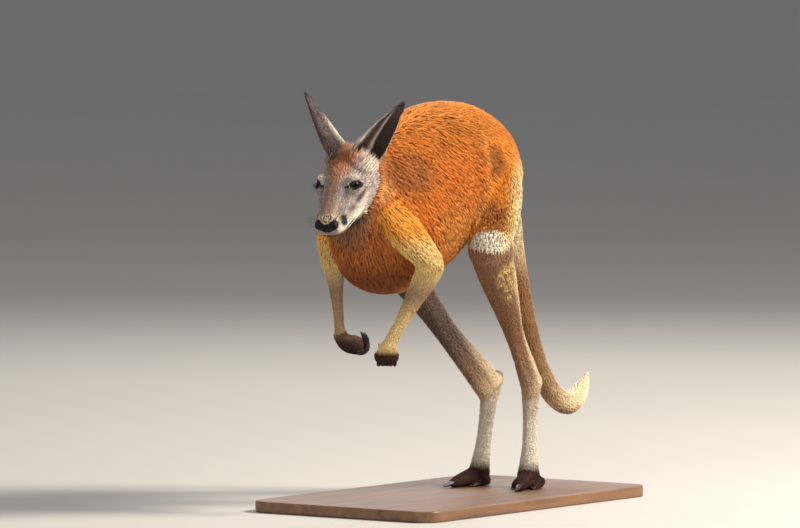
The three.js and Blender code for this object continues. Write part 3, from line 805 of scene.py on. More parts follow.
def ear_grid(name):
    """At share s and arc t the back lies at half-width * sin(t * 90 degrees) across and at
    cup * cos(t * 90 degrees) behind the rims; the inside is the same curve less the wall, raised
    along the fold."""
    base, tip, opening = EARS[name]
    axis = unit(tip - base)
    length = np.linalg.norm(tip - base)
    open_way = unit(opening - axis * (opening @ axis))
    across = np.cross(open_way, axis)
    share, width, cup = (column[:, None] for column in smooth_rows(EAR, 9).T)
    width = np.maximum(width - EAR_COAT, 0.5)
    cup = np.maximum(cup - EAR_COAT, 0.4)
    wall = np.minimum(EAR_WALL, width * 0.4)
    arc = np.linspace(-1, 1, EAR_ARC)[None, :]
    half_turn = arc * np.pi / 2
    back = np.stack([width * np.sin(half_turn), -cup * np.cos(half_turn)], axis=-1)
    thin = 0.35 + 0.65 * np.cos(half_turn)
    inner = np.stack([(width - wall * 0.5) * np.sin(half_turn), -(cup - wall * thin) * np.cos(half_turn)], axis=-1)
    beside = arc * np.sign(across @ LEFTWARD) * (1 if name == "left" else -1) - fold_line(share)
    fold = 0.42 * cup * np.exp(-(beside / 0.16) ** 2) * (1 - smoothstep(0.62, 0.85, share))
    inner[..., 1] += fold
    place = np.concatenate([back, inner[:, ::-1]], axis=1)
    spine = base + axis * share * length
    size = np.ones(len(share))
    ear_tubes[name] = Tube(spine, np.tile(across, (len(share), 1)), np.tile(open_way, (len(share), 1)), size, size, size)
    return spine[:, None] + place[..., :1] * across + place[..., 1:] * open_way


ear_tubes = {}
EARS_FACING = {name: (opening, unit(tip - base)) for name, (base, tip, opening) in EARS.items()}
ear_grids = {name: ear_grid(name) for name, _ in SIDES}
print("ears", ear_grids["left"].shape)

# %% [markdown]
# ## Colours of the coat
#
# A red kangaroo is not one red. The flanks are rufous, darker on the thigh, golden under the belly
# and behind the shoulder; the shins, forearms and the underside are cream; the face is a lilac
# grey with a rusty brow and white lips; toes and hands are nearly black. Some of the colour is
# painted shade: the chest and the front of the belly, a blotch behind the thigh's front edge, the
# front of the shins, and the far shin, forearm and hand are darker where the body lies in shade.
# One function gives the colour at any place of the body, and both the skin and every tuft over it
# ask that function, so their markings agree.

# %% Palette
def shade(*rgb):
    """A screen colour from 0 to 255 as the linear colour that shaders use."""
    value = np.array(rgb) / 255.0
    return np.where(value <= 0.04045, value / 12.92, ((value + 0.055) / 1.055) ** 2.4)


RUFOUS = shade(208, 116, 34)
RUFOUS_BACK = shade(182, 108, 32)
RUFOUS_THIGH = shade(224, 136, 42)
SHOULDER = shade(248, 162, 60)
GOLDEN = shade(222, 160, 82)
SHADED_CHEST = shade(176, 104, 56)
BELLY = shade(206, 156, 104)
CREAM = shade(240, 216, 174)
WHITE = shade(244, 231, 206)
SHIN_GREY = shade(178, 144, 112)
SHIN_BROWN = shade(148, 104, 70)
TAIL_BROWN = shade(166, 122, 78)
TAIL_UNDER = shade(138, 92, 52)
LILAC = shade(160, 142, 133)
LILAC_DARK = shade(98, 84, 82)
BUTTER = shade(252, 216, 142)
TAN = shade(160, 94, 44)
UMBER = shade(112, 60, 28)
RUSTY = shade(178, 112, 68)
MUZZLE_BROWN = shade(160, 120, 94)
THROAT = shade(150, 120, 98)
EAR_BACK = shade(80, 64, 58)
EAR_DARK = shade(58, 42, 36)
HAND_BROWN = shade(62, 34, 24)
TOE_BROWN = shade(56, 20, 13)
BLACK = shade(14, 11, 11)
EARS_BASE = shade(196, 178, 160)


def paint(colours, over, amount):
    """Lays a colour over others by an amount from 0 to 1 at each point."""
    return colours + (over - colours) * np.clip(amount, 0, 1)[:, None]


def spot(places, centre, radius):
    """1 at a centre and fading to 0 at the radius; the radius may differ by axis."""
    gap = np.linalg.norm((places - np.asarray(centre)) / np.asarray(radius), axis=1)
    return 1.0 - smoothstep(0.35, 1.0, gap)


# %% Where on a limb a point lies
def along_line(points, start, end):
    """The share of the way from start to end, and what is left over square to that line."""
    line = end - start
    share = (points - start) @ line / (line @ line)
    return share, points - start - np.outer(share, line)


def limb_colours(points, sign):
    """Thigh, shin and foot of one side, by height, by front and back, and by inner and outer side;
    the front of the shins and the whole far (right) shin carry painted shade.
    """
    flip = np.array([1.0, sign, 1.0])
    name = "left" if sign > 0 else "right"
    share, off = along_line(points, KNEE * flip, ANKLE[name] * flip)
    front = off[:, 0]
    outer = off[:, 1] * sign
    colours = np.tile(SHIN_GREY, (len(points), 1))
    # Browner on the front of the upper shin: partly the coat's own colour, partly painted shade.
    colours = paint(colours, SHIN_BROWN, 0.75 * smoothstep(0.95, 0.65, share) * smoothstep(-24, 4, front))
    behind = smoothstep(4, -14, front + 4 * smoothstep(0.2, 0.6, share))
    colours = paint(colours, CREAM, behind * smoothstep(0.05, 0.25, share) * 0.9)
    # A dark brown line down each side of the shin where the groove runs: painted shade in the crease.
    groove_shade = np.exp(-((front - 4) / 3.0) ** 2) * smoothstep(0.3, 0.5, share) * smoothstep(0.95, 0.8, share)
    colours = paint(colours, SHIN_BROWN, groove_shade * 0.7)
    flecks = smoothstep(0.45, 0.8, speckle(points, 5.0, 21)) * smoothstep(14, 26, outer)
    colours = paint(colours, BUTTER, 0.8 * flecks * smoothstep(0.02, 0.1, share) * smoothstep(0.34, 0.24, share))
    colours = paint(colours, CREAM, smoothstep(0.85, 1.0, share) * 0.6)
    # The far (right) shin is painted dark lilac grey from the knee to near the ankle: painted shade.
    far_shin_shade = smoothstep(0.95, 0.6, share) * (0.8 if sign < 0 else 0.0)
    return paint(colours, LILAC_DARK, far_shin_shade)


# %% Colour of the whole body
def speckle(points, size, seed):
    """A value from 0 to 1 that changes from one small block of space to the next."""
    cell = np.floor(points / size).astype(np.int64)
    mixed = cell[:, 0] * 73856093 ^ cell[:, 1] * 19349663 ^ cell[:, 2] * 83492791 ^ seed * 2654435761
    return ((mixed >> 7) % 1021) / 1020.0


def face_colours(points):
    """Lilac grey, a rusty crown, pale brow and cheek, dark under the eye, white lips."""
    place = head_places(points)
    along, left, up = place.T
    side = np.abs(left)
    both = np.stack([along, side, up], axis=1)
    colours = np.tile(LILAC, (len(points), 1))
    mottle = speckle(points, 3.0, 5)
    colours = paint(colours, WHITE, 0.3 * smoothstep(0.55, 0.9, mottle))
    colours = paint(colours, RUSTY, spot(both, [-62, 0, 20], [56, 36, 44]))
    colours = paint(colours, RUSTY, spot(both, [-22, 0, 24], [54, 22, 22]) * 0.6)
    colours = paint(colours, TAN, spot(both, [14, 0, 20], [60, 18, 16]) * 0.4)
    colours = paint(colours, TAN, spot(both, [-30, 20, 22], [34, 18, 16]) * 0.5)
    ridge = np.exp(-((left - 2.5) / 4.0) ** 2) + np.exp(-((left + 12) / 4.5) ** 2)
    colours = paint(colours, MUZZLE_BROWN, smoothstep(0, 26, along) * smoothstep(-2, 6, up) * ridge * 0.9)
    colours = paint(colours, MUZZLE_BROWN, (1 - smoothstep(12, 24, side)) * smoothstep(30, 60, along)
                    * smoothstep(-6, 6, up) * 0.55)
    colours = paint(colours, CREAM, spot(both, [-14, 36, 18], [20, 12, 10]) * 0.25)
    colours = paint(colours, WHITE, spot(both, [-44, 46, -12], [20, 16, 20]) * 0.35)
    colours = paint(colours, LILAC_DARK, np.minimum(1.4 * spot(both, [13, 40, -17], [20, 15, 10]), 1.0))
    colours = paint(colours, LILAC_DARK, spot(both, [-22, 52, -30], [9, 14, 10]) * 0.6)
    colours = paint(colours, LILAC_DARK, spot(both, [44, 37, -16], [16, 14, 10]) * 0.5)
    colours = paint(colours, LILAC_DARK, spot(both, [30, 27, 10], [30, 8, 9]) * 0.55)
    colours = paint(colours, WHITE, smoothstep(18, 34, -up) * smoothstep(-6, 30, along) * 0.85)
    colours = paint(colours, WHITE, spot(both, [80, 26, -18], [24, 20, 16]) * 0.95)
    colours = paint(colours, WHITE, spot(both, [62, 30, -30], [34, 20, 18]) * 0.8)
    colours = paint(colours, BLACK, np.minimum(1.6 * spot(both, [74, 34, -8], [17, 16, 18]), 1.0))
    colours = paint(colours, LILAC_DARK, spot(both, [94, 0, -36], [18, 26, 13]) * 0.9)
    lips = np.abs(up + 26.5 + 0.36 * np.maximum(95 - along, 0))
    colours = paint(colours, BLACK, smoothstep(5.0, 2.4, lips) * smoothstep(40, 54, along) * 0.95)
    above_nose = smoothstep(70, 78, along) * smoothstep(-10, 0, up)
    fine = speckle(points, 1.8, 23)
    colours = paint(colours, CREAM, above_nose * smoothstep(0.5, 0.7, fine) * 0.85)
    colours = paint(colours, BLACK, above_nose * smoothstep(0.5, 0.3, fine) * 0.85)
    colours = paint(colours, CREAM, smoothstep(40, 62, -along) * smoothstep(26, 44, side) * 0.3)
    colours = paint(colours, THROAT, smoothstep(58, 74, -up) * smoothstep(-40, -10, -along) * 0.7)
    return paint(colours, BLACK, 1 - smoothstep(1.6, 3.8, near_slit(points)))


def near_slit(points):
    """How far outside the opening between the lids a point is, on the nearer eye, with the dark
    corner that runs on towards the nose."""
    distance = np.full(len(points), 99.0)
    for eye in EYES.values():
        along, up, out = eye.places(points).T
        edge_x, edge_y = slit_edge(np.arctan2(up, along))
        gap = np.hypot(along, up) - np.hypot(edge_x, edge_y)
        inner = np.hypot((along + SLIT_HALF + 3.0) / 2.2, up + 0.6) - 0.8
        outer = np.hypot((along - SLIT_HALF - 1.5) / 2.0, up - 0.8) - 0.6
        corner = np.minimum(inner, outer)
        distance = np.where(out > 0, np.minimum(distance, np.minimum(gap, corner)), distance)
    return distance


def body_colours(points, part):
    """The colour of the coat at points of the given part names."""
    x, y, z = points.T
    side = np.abs(y)
    colours = np.tile(RUFOUS, (len(points), 1))
    level = points * [1, 0, 1]
    colours = paint(colours, RUFOUS_BACK, smoothstep(640, 750, z) * 0.9)
    colours = paint(colours, TAN, spot(level, [300, 0, 778], [110, 1, 26]) * 0.7)
    colours = paint(colours, TAN, spot(level, [440, 0, 650], [76, 1, 62]) * smoothstep(20, 60, side) * 0.85)
    colours = paint(colours, GOLDEN, smoothstep(640, 500, z) * smoothstep(420, 340, x) * smoothstep(70, 110, side) * 0.6)
    colours = paint(colours, BELLY, smoothstep(520, 430, z - 0.25 * (300 - x)) * smoothstep(80, 40, side)
                    * smoothstep(420, 360, x) * 0.8)
    # The chest is painted browner, partly its own colour and partly painted shade, and the front of the belly below it
    # deep umber as painted shade.
    colours = paint(colours, SHADED_CHEST, smoothstep(430, 500, x) * smoothstep(600, 520, z) * 0.75)
    colours = paint(colours, UMBER, smoothstep(380, 440, x) * smoothstep(500, 440, z) * 0.7)
    line = 239 + 0.3 * np.maximum(652 - z, 0) - 0.5 * np.maximum(z - 690, 0)
    behind = smoothstep(70, 100, side) * smoothstep(740, 700, z) * (part != "neck")
    thigh = smoothstep(6, -6, x - line) * behind
    colours = paint(colours, RUFOUS_THIGH, thigh)
    # Dark umber blotches just behind the thigh's front edge: partly the coat's own mottle, partly painted shade behind
    # the fold there.
    thigh_blotch_shade = np.maximum(spot(level, [212, 0, 668], [46, 1, 46]), spot(level, [240, 0, 562], [44, 1, 42]))
    colours = paint(colours, UMBER, thigh * thigh_blotch_shade * (0.35 + 0.5 * speckle(points, 6.0, 13)))
    crest = np.exp(-((x - line - 2) / 3.6) ** 2) * smoothstep(500, 560, z)
    colours = paint(colours, GOLDEN, 0.7 * crest * behind)
    rump = smoothstep(150, 40, x) * smoothstep(720, 600, z)
    colours = paint(colours, GOLDEN, rump * 0.9)
    colours = paint(colours, CREAM, rump * smoothstep(660, 560, z) * 0.9)
    for name, sign in SIDES:
        outer = y * sign > 0
        own_thigh = outer & (part != "tail") & (x < 300)
        buttock = x - 152 - 0.55 * (640 - z)
        colours = paint(colours, BUTTER, own_thigh * smoothstep(26, -10, buttock) * smoothstep(700, 590, z) * 0.75)
        colours = paint(colours, CREAM, own_thigh * smoothstep(-4, -44, buttock) * smoothstep(690, 560, z) * 0.9)
        leg = (part == f"shin_{name}") | (part == f"thigh_{name}")
        below = np.where(part[leg] == f"thigh_{name}", smoothstep(498, 486, z[leg]), 1.0)
        colours[leg] = colours[leg] + (limb_colours(points[leg], sign) - colours[leg]) * below[:, None]
        knee = np.linalg.norm((points * [1, sign, 1] - [252, 146, 509]) / [35, 56, 23], axis=1)
        colours = paint(colours, WHITE, smoothstep(1.15, 0.85, knee) * 0.95)
        colours = paint(colours, BUTTER, smoothstep(1.15, 0.85, knee) * smoothstep(252, 232, x) * 0.5)
        foot = np.isin(part, [f"foot_{name}"])
        colours[foot] = paint(np.tile(WHITE, (foot.sum(), 1)), SHIN_GREY, 0.35 * smoothstep(110, 170, z[foot]))
        colours[foot] = paint(colours[foot], TOE_BROWN, smoothstep(58, 30, z[foot]))
        colours[part == f"toe_{name}"] = TOE_BROWN
        arm = np.isin(part, [f"upper_arm_{name}"])
        colours[arm] = paint(np.tile(SHOULDER, (arm.sum(), 1)), BUTTER, 0.8 * smoothstep(545, 490, z[arm]))
        elbow = spot(points * [1, sign, 1], [408, 124, 462], [44, 40, 34])
        fore = part == f"forearm_{name}"
        wrist = WRIST[name][2]
        # The far (right) forearm and hand are darker than the near ones: painted shade on the far arm.
        colours[fore] = paint(np.tile(SHIN_GREY, (fore.sum(), 1)), BUTTER,
                             smoothstep(410, 350, z[fore]) * (0.75 if sign > 0 else 0.2))
        colours[fore] = paint(colours[fore], BUTTER, smoothstep(408, 462, z[fore]) * 0.85)
        colours[fore] = paint(colours[fore], HAND_BROWN, smoothstep(wrist + 14, wrist - 10, z[fore])
                              * (0.6 if sign > 0 else 0.95))
        colours = paint(colours, BUTTER, elbow * (arm | fore) * 0.9)
        hand = part == f"hand_{name}"
        # The back of the far (right) hand gets almost no butter: painted shade on the far hand.
        back_of_hand = smoothstep(-4, 6, z[hand] - wrist + 6) * (0.8 if sign > 0 else 0.1)
        colours[hand] = paint(np.tile(HAND_BROWN, (hand.sum(), 1)), BUTTER, back_of_hand)
        colours[hand] = paint(colours[hand], BLACK, smoothstep(-14, -34, z[hand] - wrist) * 0.8)
    tail = part == "tail"
    tail_x, _, tail_z = points[tail].T
    tail_tints = paint(np.tile(TAIL_BROWN, (tail.sum(), 1)), CREAM, smoothstep(400, 500, tail_z))
    specks = smoothstep(0.72, 0.8, speckle(points[tail], 9.0, 9)) * smoothstep(420, 520, tail_z)
    tail_tints = paint(tail_tints, SHIN_BROWN, specks * 0.6)
    tail_tints = paint(tail_tints, CREAM, smoothstep(-60, -230, tail_x) * 0.95)
    tail_tints = paint(tail_tints, TAIL_UNDER, smoothstep(156, 132, tail_z) * 0.8)
    colours[tail] = paint(tail_tints, GOLDEN, smoothstep(620, 680, tail_z) * 0.7)
    neck = part == "neck"
    throat = smoothstep(500, 548, x[neck] + 0.35 * (z[neck] - 560)) * smoothstep(72, 30, side[neck])
    colours[neck] = paint(colours[neck], THROAT, throat * 0.75)
    along, left, up = head_places(points[neck]).T
    nape = np.stack([along, np.abs(left), up], axis=1)
    flecks = 0.35 + 0.6 * smoothstep(0.3, 0.8, speckle(points[neck], 4.0, 17))
    colours[neck] = paint(colours[neck], BUTTER, spot(nape, [-44, 52, -84], [44, 25, 54]) * flecks * 0.9)
    colours[neck] = paint(colours[neck], THROAT, spot(nape, [-10, 30, -110], [50, 40, 50]) * flecks)
    head = part == "head"
    colours[head] = face_colours(points[head])
    return np.clip(colours, 0, 1)


def ear_colours(name):
    """Grey-brown outside, paler towards the inner root; inside, painted shade makes the cup dark beyond
    the pale fold, and it is mottled grey before it; a thin pale rim, a black edge at the tip and
    painted shade in the hollows at the root."""
    grid = ear_grids[name]
    count_along, count_across = grid.shape[:2]
    share = np.repeat(np.linspace(0, 1, count_along), count_across)
    place = np.tile(np.concatenate([np.linspace(-1, 1, EAR_ARC), np.linspace(1, -1, EAR_ARC)]), count_along)
    inside = np.tile(np.arange(count_across) >= EAR_ARC, count_along)
    side = place * np.sign(np.cross(*EARS_FACING[name]) @ LEFTWARD) * (1 if name == "left" else -1)
    points = grid.reshape(-1, 3)
    mottle = speckle(points, 3.5, 3)
    colours = paint(np.tile(EAR_BACK, (len(share), 1)), LILAC, 0.28 * smoothstep(0.3, 0.9, mottle))
    pale = smoothstep(0.62, 0.36, share) * smoothstep(0.2, -0.45, side)
    colours = paint(colours, WHITE, (0.6 + 0.4 * mottle) * pale * (1 - inside))
    dark_edge = smoothstep(0.4, 0.85, side) * smoothstep(0.1, 0.35, share)
    colours = paint(colours, EAR_DARK, 0.85 * (1 - inside) * dark_edge)
    beside = side - fold_line(share)
    # Dark inside the cup beyond the fold: painted shade.
    hollow_shade = inside * smoothstep(0.02, 0.2, beside)
    colours = paint(colours, EAR_DARK, 0.97 * hollow_shade)
    colours = paint(colours, LILAC_DARK, 0.5 * hollow_shade * smoothstep(0.5, 0.8, share))
    fold = np.exp(-((beside + 0.02) / 0.06) ** 2) * inside * (1 - smoothstep(0.66, 0.8, share))
    colours = paint(colours, EARS_BASE, 0.9 * fold)
    patch = np.exp(-((share - 0.24) / 0.13) ** 2) * smoothstep(-0.3, -0.6, side)
    colours = paint(colours, WHITE, 0.9 * inside * patch)
    # Dark brown spots round the root of the ear: painted shade in the hollows there.
    ear_root_shade = np.exp(-((share - 0.07) / 0.05) ** 2) * smoothstep(0.35, 0.6, mottle)
    colours = paint(colours, HAND_BROWN, 0.85 * ear_root_shade)
    rim = smoothstep(0.93, 0.99, np.abs(place)) * smoothstep(0.8, 0.7, share)
    colours = paint(colours, EARS_BASE, rim * 0.8)
    return paint(colours, BLACK, 0.75 * smoothstep(0.82, 0.97, share))


# %% [markdown]
# ## Finishes
#
# A finish is a small network of nodes. Written node by node it is long and hard to read, so a socket
# is wrapped in a class that knows plus, minus and times: an expression on values adds the Math nodes
# it needs. Everything else is made by one method that takes the node's type, its settings and what
# goes into its sockets.

# %% Nodes as expressions
class Value:
    """A socket that can be reckoned with; each operator adds one Math node."""

    def __init__(self, finish, socket):
        self.finish, self.socket = finish, socket

    def reckon(self, operation, first, second):
        node = self.finish.node("ShaderNodeMath", {"operation": operation}, {0: first, 1: second})
        return Value(self.finish, node.outputs[0])

    def __add__(self, other):
        return self.reckon("ADD", self, other)

    __radd__ = __add__

    def __sub__(self, other):
        return self.reckon("SUBTRACT", self, other)

    def __rsub__(self, other):
        return self.reckon("SUBTRACT", other, self)

    def __mul__(self, other):
        return self.reckon("MULTIPLY", self, other)

    __rmul__ = __mul__


class Finish:
    """A material with one Principled shader; constants are set on the shader's own sockets."""

    def __init__(self, name, constants):
        self.material = bpy.data.materials.new(name)
        self.material.use_nodes = True
        self.tree = self.material.node_tree
        self.shader = self.tree.nodes["Principled BSDF"]
        for socket, value in constants.items():
            self.shader.inputs[socket].default_value = value

    def feed(self, socket, value):
        if isinstance(value, Value):
            self.tree.links.new(value.socket, socket)
        else:
            socket.default_value = value

    def node(self, kind, settings, inputs):
        node = self.tree.nodes.new(kind)
        for name, value in settings.items():
            setattr(node, name, value)
        for name, value in inputs.items():
            self.feed(node.inputs[name], value)
        return node

    def output(self, kind, settings, inputs, output=0):
        return Value(self, self.node(kind, settings, inputs).outputs[output])

    def place(self):
        return self.output("ShaderNodeTexCoord", {}, {}, "Object")

    def noise(self, scale, detail=2.0, where=None):
        inputs = {"Vector": where or self.place(), "Scale": scale, "Detail": detail}
        return self.output("ShaderNodeTexNoise", {}, inputs, "Fac")

    def dim(self, colour, amount):
        """A colour multiplied by a grey value, through Vector Math's scale."""
        return self.output("ShaderNodeVectorMath", {"operation": "SCALE"}, {0: colour, "Scale": amount})

    def attribute(self, name, output="Color"):
        return self.output("ShaderNodeAttribute", {"attribute_name": name}, {}, output)

    def bump(self, height, distance, strength=1.0):
        return self.output("ShaderNodeBump", {}, {"Height": height, "Distance": distance, "Strength": strength})

    def set(self, socket, value):
        self.feed(self.shader.inputs[socket], value)


# %% Skin, coat, nose, eyes, horn and wood
def skin_finish():
    """The attribute's colour, mottled, with the fine grain of very short fur."""
    finish = Finish("skin", {"Specular IOR Level": 0.3})
    finish.set("Base Color", finish.dim(finish.attribute("Colour"), 0.72 + 0.5 * finish.noise(420.0, 3.0)))
    finish.set("Roughness", 0.6 + 0.25 * finish.noise(200.0))
    grain = finish.noise(1400.0, 2.0) + 0.6 * finish.noise(500.0, 2.0)
    finish.set("Normal", finish.bump(grain, 0.0007, 0.8))
    return finish.material


def coat_finish():
    """The attribute's colour, a little lighter and darker from hair to hair."""
    finish = Finish("coat", {"Specular IOR Level": 0.3})
    finish.set("Base Color", finish.dim(finish.attribute("Colour"), 0.85 + 0.3 * finish.noise(260.0, 2.0)))
    finish.set("Roughness", 0.55 + 0.25 * finish.noise(180.0))
    return finish.material


def nose_finish():
    """Black leather with a fine pebble grain and a gloss that changes from place to place."""
    finish = Finish("nose leather", {"Specular IOR Level": 0.2})
    pebbles = finish.output("ShaderNodeTexVoronoi", {}, {"Vector": finish.place(), "Scale": 900.0}, "Distance")
    finish.set("Base Color", finish.dim(finish.attribute("Colour"), 0.8 + 0.5 * finish.noise(300.0)))
    finish.set("Roughness", 0.4 + 0.25 * finish.noise(120.0))
    finish.set("Normal", finish.bump(pebbles, 0.0006, 0.9))
    return finish.material


def eye_finish():
    """The attribute's colour under a clear wet surface."""
    finish = Finish("eye", {"Roughness": 0.25, "Specular IOR Level": 0.05, "Coat Weight": 0.05,
                            "Coat Roughness": 0.03})
    finish.set("Base Color", finish.dim(finish.attribute("Colour"), 0.8 + 0.4 * finish.noise(900.0)))
    return finish.material


def horn_finish():
    """Black horn with a fine bumpy grain, worn paler where the noise is high."""
    finish = Finish("horn", {"Specular IOR Level": 0.5})
    finish.set("Base Color", finish.dim(finish.attribute("Colour"), 0.5 + 1.0 * finish.noise(240.0, 3.0)))
    finish.set("Roughness", 0.28 + 0.3 * finish.noise(160.0))
    finish.set("Normal", finish.bump(finish.noise(700.0, 3.0), 0.0004, 0.6))
    return finish.material


def wood_finish():
    """Boards: long stretched noise for the grain, darker along its ridges, under a satin varnish."""
    finish = Finish("board wood", {"Coat Weight": 0.25, "Coat Roughness": 0.25})
    stretched = finish.output("ShaderNodeMapping", {}, {"Vector": finish.place(), "Scale": (1.2, 14.0, 14.0)})
    rings_noise = finish.noise(4.0, 6.0, stretched)
    fibre = finish.noise(60.0, 3.0, stretched)
    ramp = finish.node("ShaderNodeValToRGB", {}, {"Fac": 0.6 * rings_noise + 0.4 * fibre})
    ramp.color_ramp.elements[0].position, ramp.color_ramp.elements[1].position = 0.3, 0.72
    ramp.color_ramp.elements[0].color = (*shade(74, 47, 29), 1.0)
    ramp.color_ramp.elements[1].color = (*shade(139, 98, 63), 1.0)
    finish.set("Base Color", Value(finish, ramp.outputs["Color"]))
    finish.set("Roughness", 0.38 + 0.2 * fibre)
    finish.set("Normal", finish.bump(fibre, 0.0004, 0.5))
    return finish.material


SKIN_FINISH, COAT_FINISH = skin_finish(), coat_finish()
NOSE_FINISH, EYE_FINISH, HORN_FINISH = nose_finish(), eye_finish(), horn_finish()


def tint(obj, colours, material, slot, *nodes):
    """Stores a colour at each point, gives the finish, and says which CAD nodes the piece replaces."""
    layer = obj.data.color_attributes.new("Colour", "FLOAT_COLOR", "POINT")
    rgba = np.concatenate([colours, np.ones((len(colours), 1))], axis=1)
    layer.data.foreach_set("color", rgba.astype(np.float32).ravel())
    obj.data.materials.append(material)
    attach(obj, "root")
    if nodes:
        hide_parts(*nodes)
    return obj


# %% [markdown]
# ## The skin as one mesh
#
# The thinned body, the two lids and the two ears become one object. A lid is a ring that closes on
# itself behind the eyeball, and an ear is a closed shell whose root is buried in the head, so no
# open edge is left anywhere.

# %% Skin object
def ring_faces(rows, columns):
    """Quads of a grid that closes on itself both ways."""
    row, column = np.arange(rows)[:, None], np.arange(columns)[None, :]
    below, beside = (row + 1) % rows, (column + 1) % columns
    corners = [row * columns + column, row * columns + beside, below * columns + beside, below * columns + column]
    return np.stack(np.broadcast_arrays(*corners), axis=-1).reshape(-1, 4)


def outward_faces(points, faces):
    """Faces turned over where the volume that they enclose comes out negative."""
    a, b, c = (points[faces[:, i]] for i in range(3))
    volume = np.einsum("ij,ij->", a - points.mean(0), np.cross(b - points.mean(0), c - points.mean(0)))
    return faces if volume > 0 else faces[:, ::-1]


def all_triangles(faces):
    """Quads cut along a diagonal; triangles as they are."""
    return faces if faces.shape[1] == 3 else np.concatenate([faces[:, [0, 1, 2]], faces[:, [0, 2, 3]]])


body_parts = np.array(PART_NAMES)[field.part_at(skin_points)]
body_tints = body_colours(skin_points, body_parts)
meshes = [(skin_points, skin_triangles, body_tints)]
for name, sign in SIDES:
    lid = lid_grids[name]
    faces = outward_faces(lid.reshape(-1, 3), all_triangles(ring_faces(*lid.shape[:2])))
    meshes.append((lid.reshape(-1, 3), faces, face_colours(lid.reshape(-1, 3))))
    ear = ear_grids[name]
    points, quads, ends = closed_surface(ear)
    faces = outward_faces(points, np.concatenate([all_triangles(quads), ends]))
    tints = ear_colours(name)
    meshes.append((points, faces, np.concatenate([tints, tints[:1], tints[-1:]])))

offsets = np.cumsum([0] + [len(points) for points, _, _ in meshes])
labels = ["head", "ear_left", "head", "ear_right"]
all_parts = np.concatenate([body_parts] + [np.full(len(mesh[0]), label) for mesh, label in zip(meshes[1:], labels)])
all_points = np.concatenate([points for points, _, _ in meshes])
all_faces = np.concatenate([faces + offset for (_, faces, _), offset in zip(meshes, offsets)])
all_tints = np.concatenate([tints for _, _, tints in meshes])
skin = build_object("skin", all_points, [all_faces])
DEEP_COAT = ("trunk", "neck", "thigh", "upper")   # the skin is dark where the coat is deep
FLESH = ["trunk", "neck", "head"] + [f"tail_{i}" for i in (1, 2, 3)]
FLESH += [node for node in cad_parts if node.endswith(("_left", "_right"))
          and not node.startswith(("claw", "finger_claw", "eye"))]
# The skin is darkened to 0.35 of the coat's colour under the deep coat and to 0.8 elsewhere: darker underfur and
# painted shade under the coat.
deep_coat_shade = np.select([np.char.startswith(all_parts, name) for name in DEEP_COAT], [0.35] * len(DEEP_COAT), 0.8)
tint(skin, all_tints * deep_coat_shade[:, None], SKIN_FINISH, "rufous_coat", *FLESH)
print("skin", len(all_points), "points,", len(all_faces), "triangles; replaces", len(FLESH), "nodes")

# %% [markdown]
# ## Nose
#
# The nose is hairless leather: a pad that is broader than high, with two comma-shaped nostrils and a
# groove between them. It is a ball squeezed to three half sizes, and the nostrils are strokes that
# push the leather in.

# %% Nose leather
NOSE_CENTRE = np.array([91.0, 0.0, -4.0])
NOSE_HALF = np.array([13.5, 24.4, 12.8])
NOSTRIL = [[104, 6.5, -8.5], [103, 11, -7.5], [101, 16, -4.0], [98, 18.5, 1.0]]


def nose_grid(rows=70, columns=110):
    """A ball with the powers of its sines and cosines below one, which makes it boxier: each
    coordinate is half size * sign * |sine or cosine| ** 0.8. The top sinks in the middle."""
    turn = np.linspace(0.02, np.pi - 0.02, rows)[:, None]
    around = (np.arange(columns) / columns * 2 * np.pi)[None, :]

    def power(value):
        return np.sign(value) * np.abs(value) ** 0.86

    grid = np.stack(np.broadcast_arrays(power(np.sin(turn)) * power(np.cos(around)),
                                        power(np.sin(turn)) * power(np.sin(around)), power(np.cos(turn))), axis=-1)
    grid = grid * NOSE_HALF
    middle = np.exp(-(grid[..., 1] / 15.0) ** 4)
    grid[..., 2] -= 6.5 * middle * smoothstep(1.0, 11.0, grid[..., 2])
    grid[..., 2] -= 2.6 * middle * smoothstep(2.0, 10.0, -grid[..., 2])
    grid[..., 0] -= 2.0 * np.exp(-(grid[..., 1] / 1.8) ** 2) * smoothstep(0.0, 8.0, grid[..., 0])
    grid[..., 1] *= 1.0 - 0.45 * smoothstep(2.0, 12.0, -grid[..., 2])
    return NOSE_CENTRE + grid


points, quads, ends = closed_surface(nose_grid())
faces = outward_faces(points, np.concatenate([all_triangles(quads), ends]))
hollow_shade = np.zeros(len(points))
for _, sign in SIDES:
    path = np.array(NOSTRIL) * [1, sign, 1]
    normals = point_normals(points, faces)
    hollow_shade = np.maximum(hollow_shade, np.exp(-(near_path(points, path, 9.0) / 3.4) ** 2))
    points = stroke(points, normals, path, 2.6, -4.6)
    points = stroke(points, normals, path + [0.6, 1.0 * sign, 5.2], 2.4, 1.1)
# The nostrils are painted nearly black: painted shade inside them.
nose_tints = paint(np.tile(shade(15, 10, 11), (len(points), 1)), shade(2, 1, 1), hollow_shade)
nose = build_object("nose_leather", on_head(points), [faces])
tint(nose, nose_tints, NOSE_FINISH, "nose_skin", "nose")
print("nose", len(points), "points")

# %% [markdown]
# ## Eyeballs
#
# A kangaroo's eye is nearly all iris, a brown so dark that only the wet highlight shows its shape,
# round a pupil that lies level. The ball bulges at the cornea. Its colours are stored on its points.

# %% Eyeballs
CORNEA_RISE = 1.1


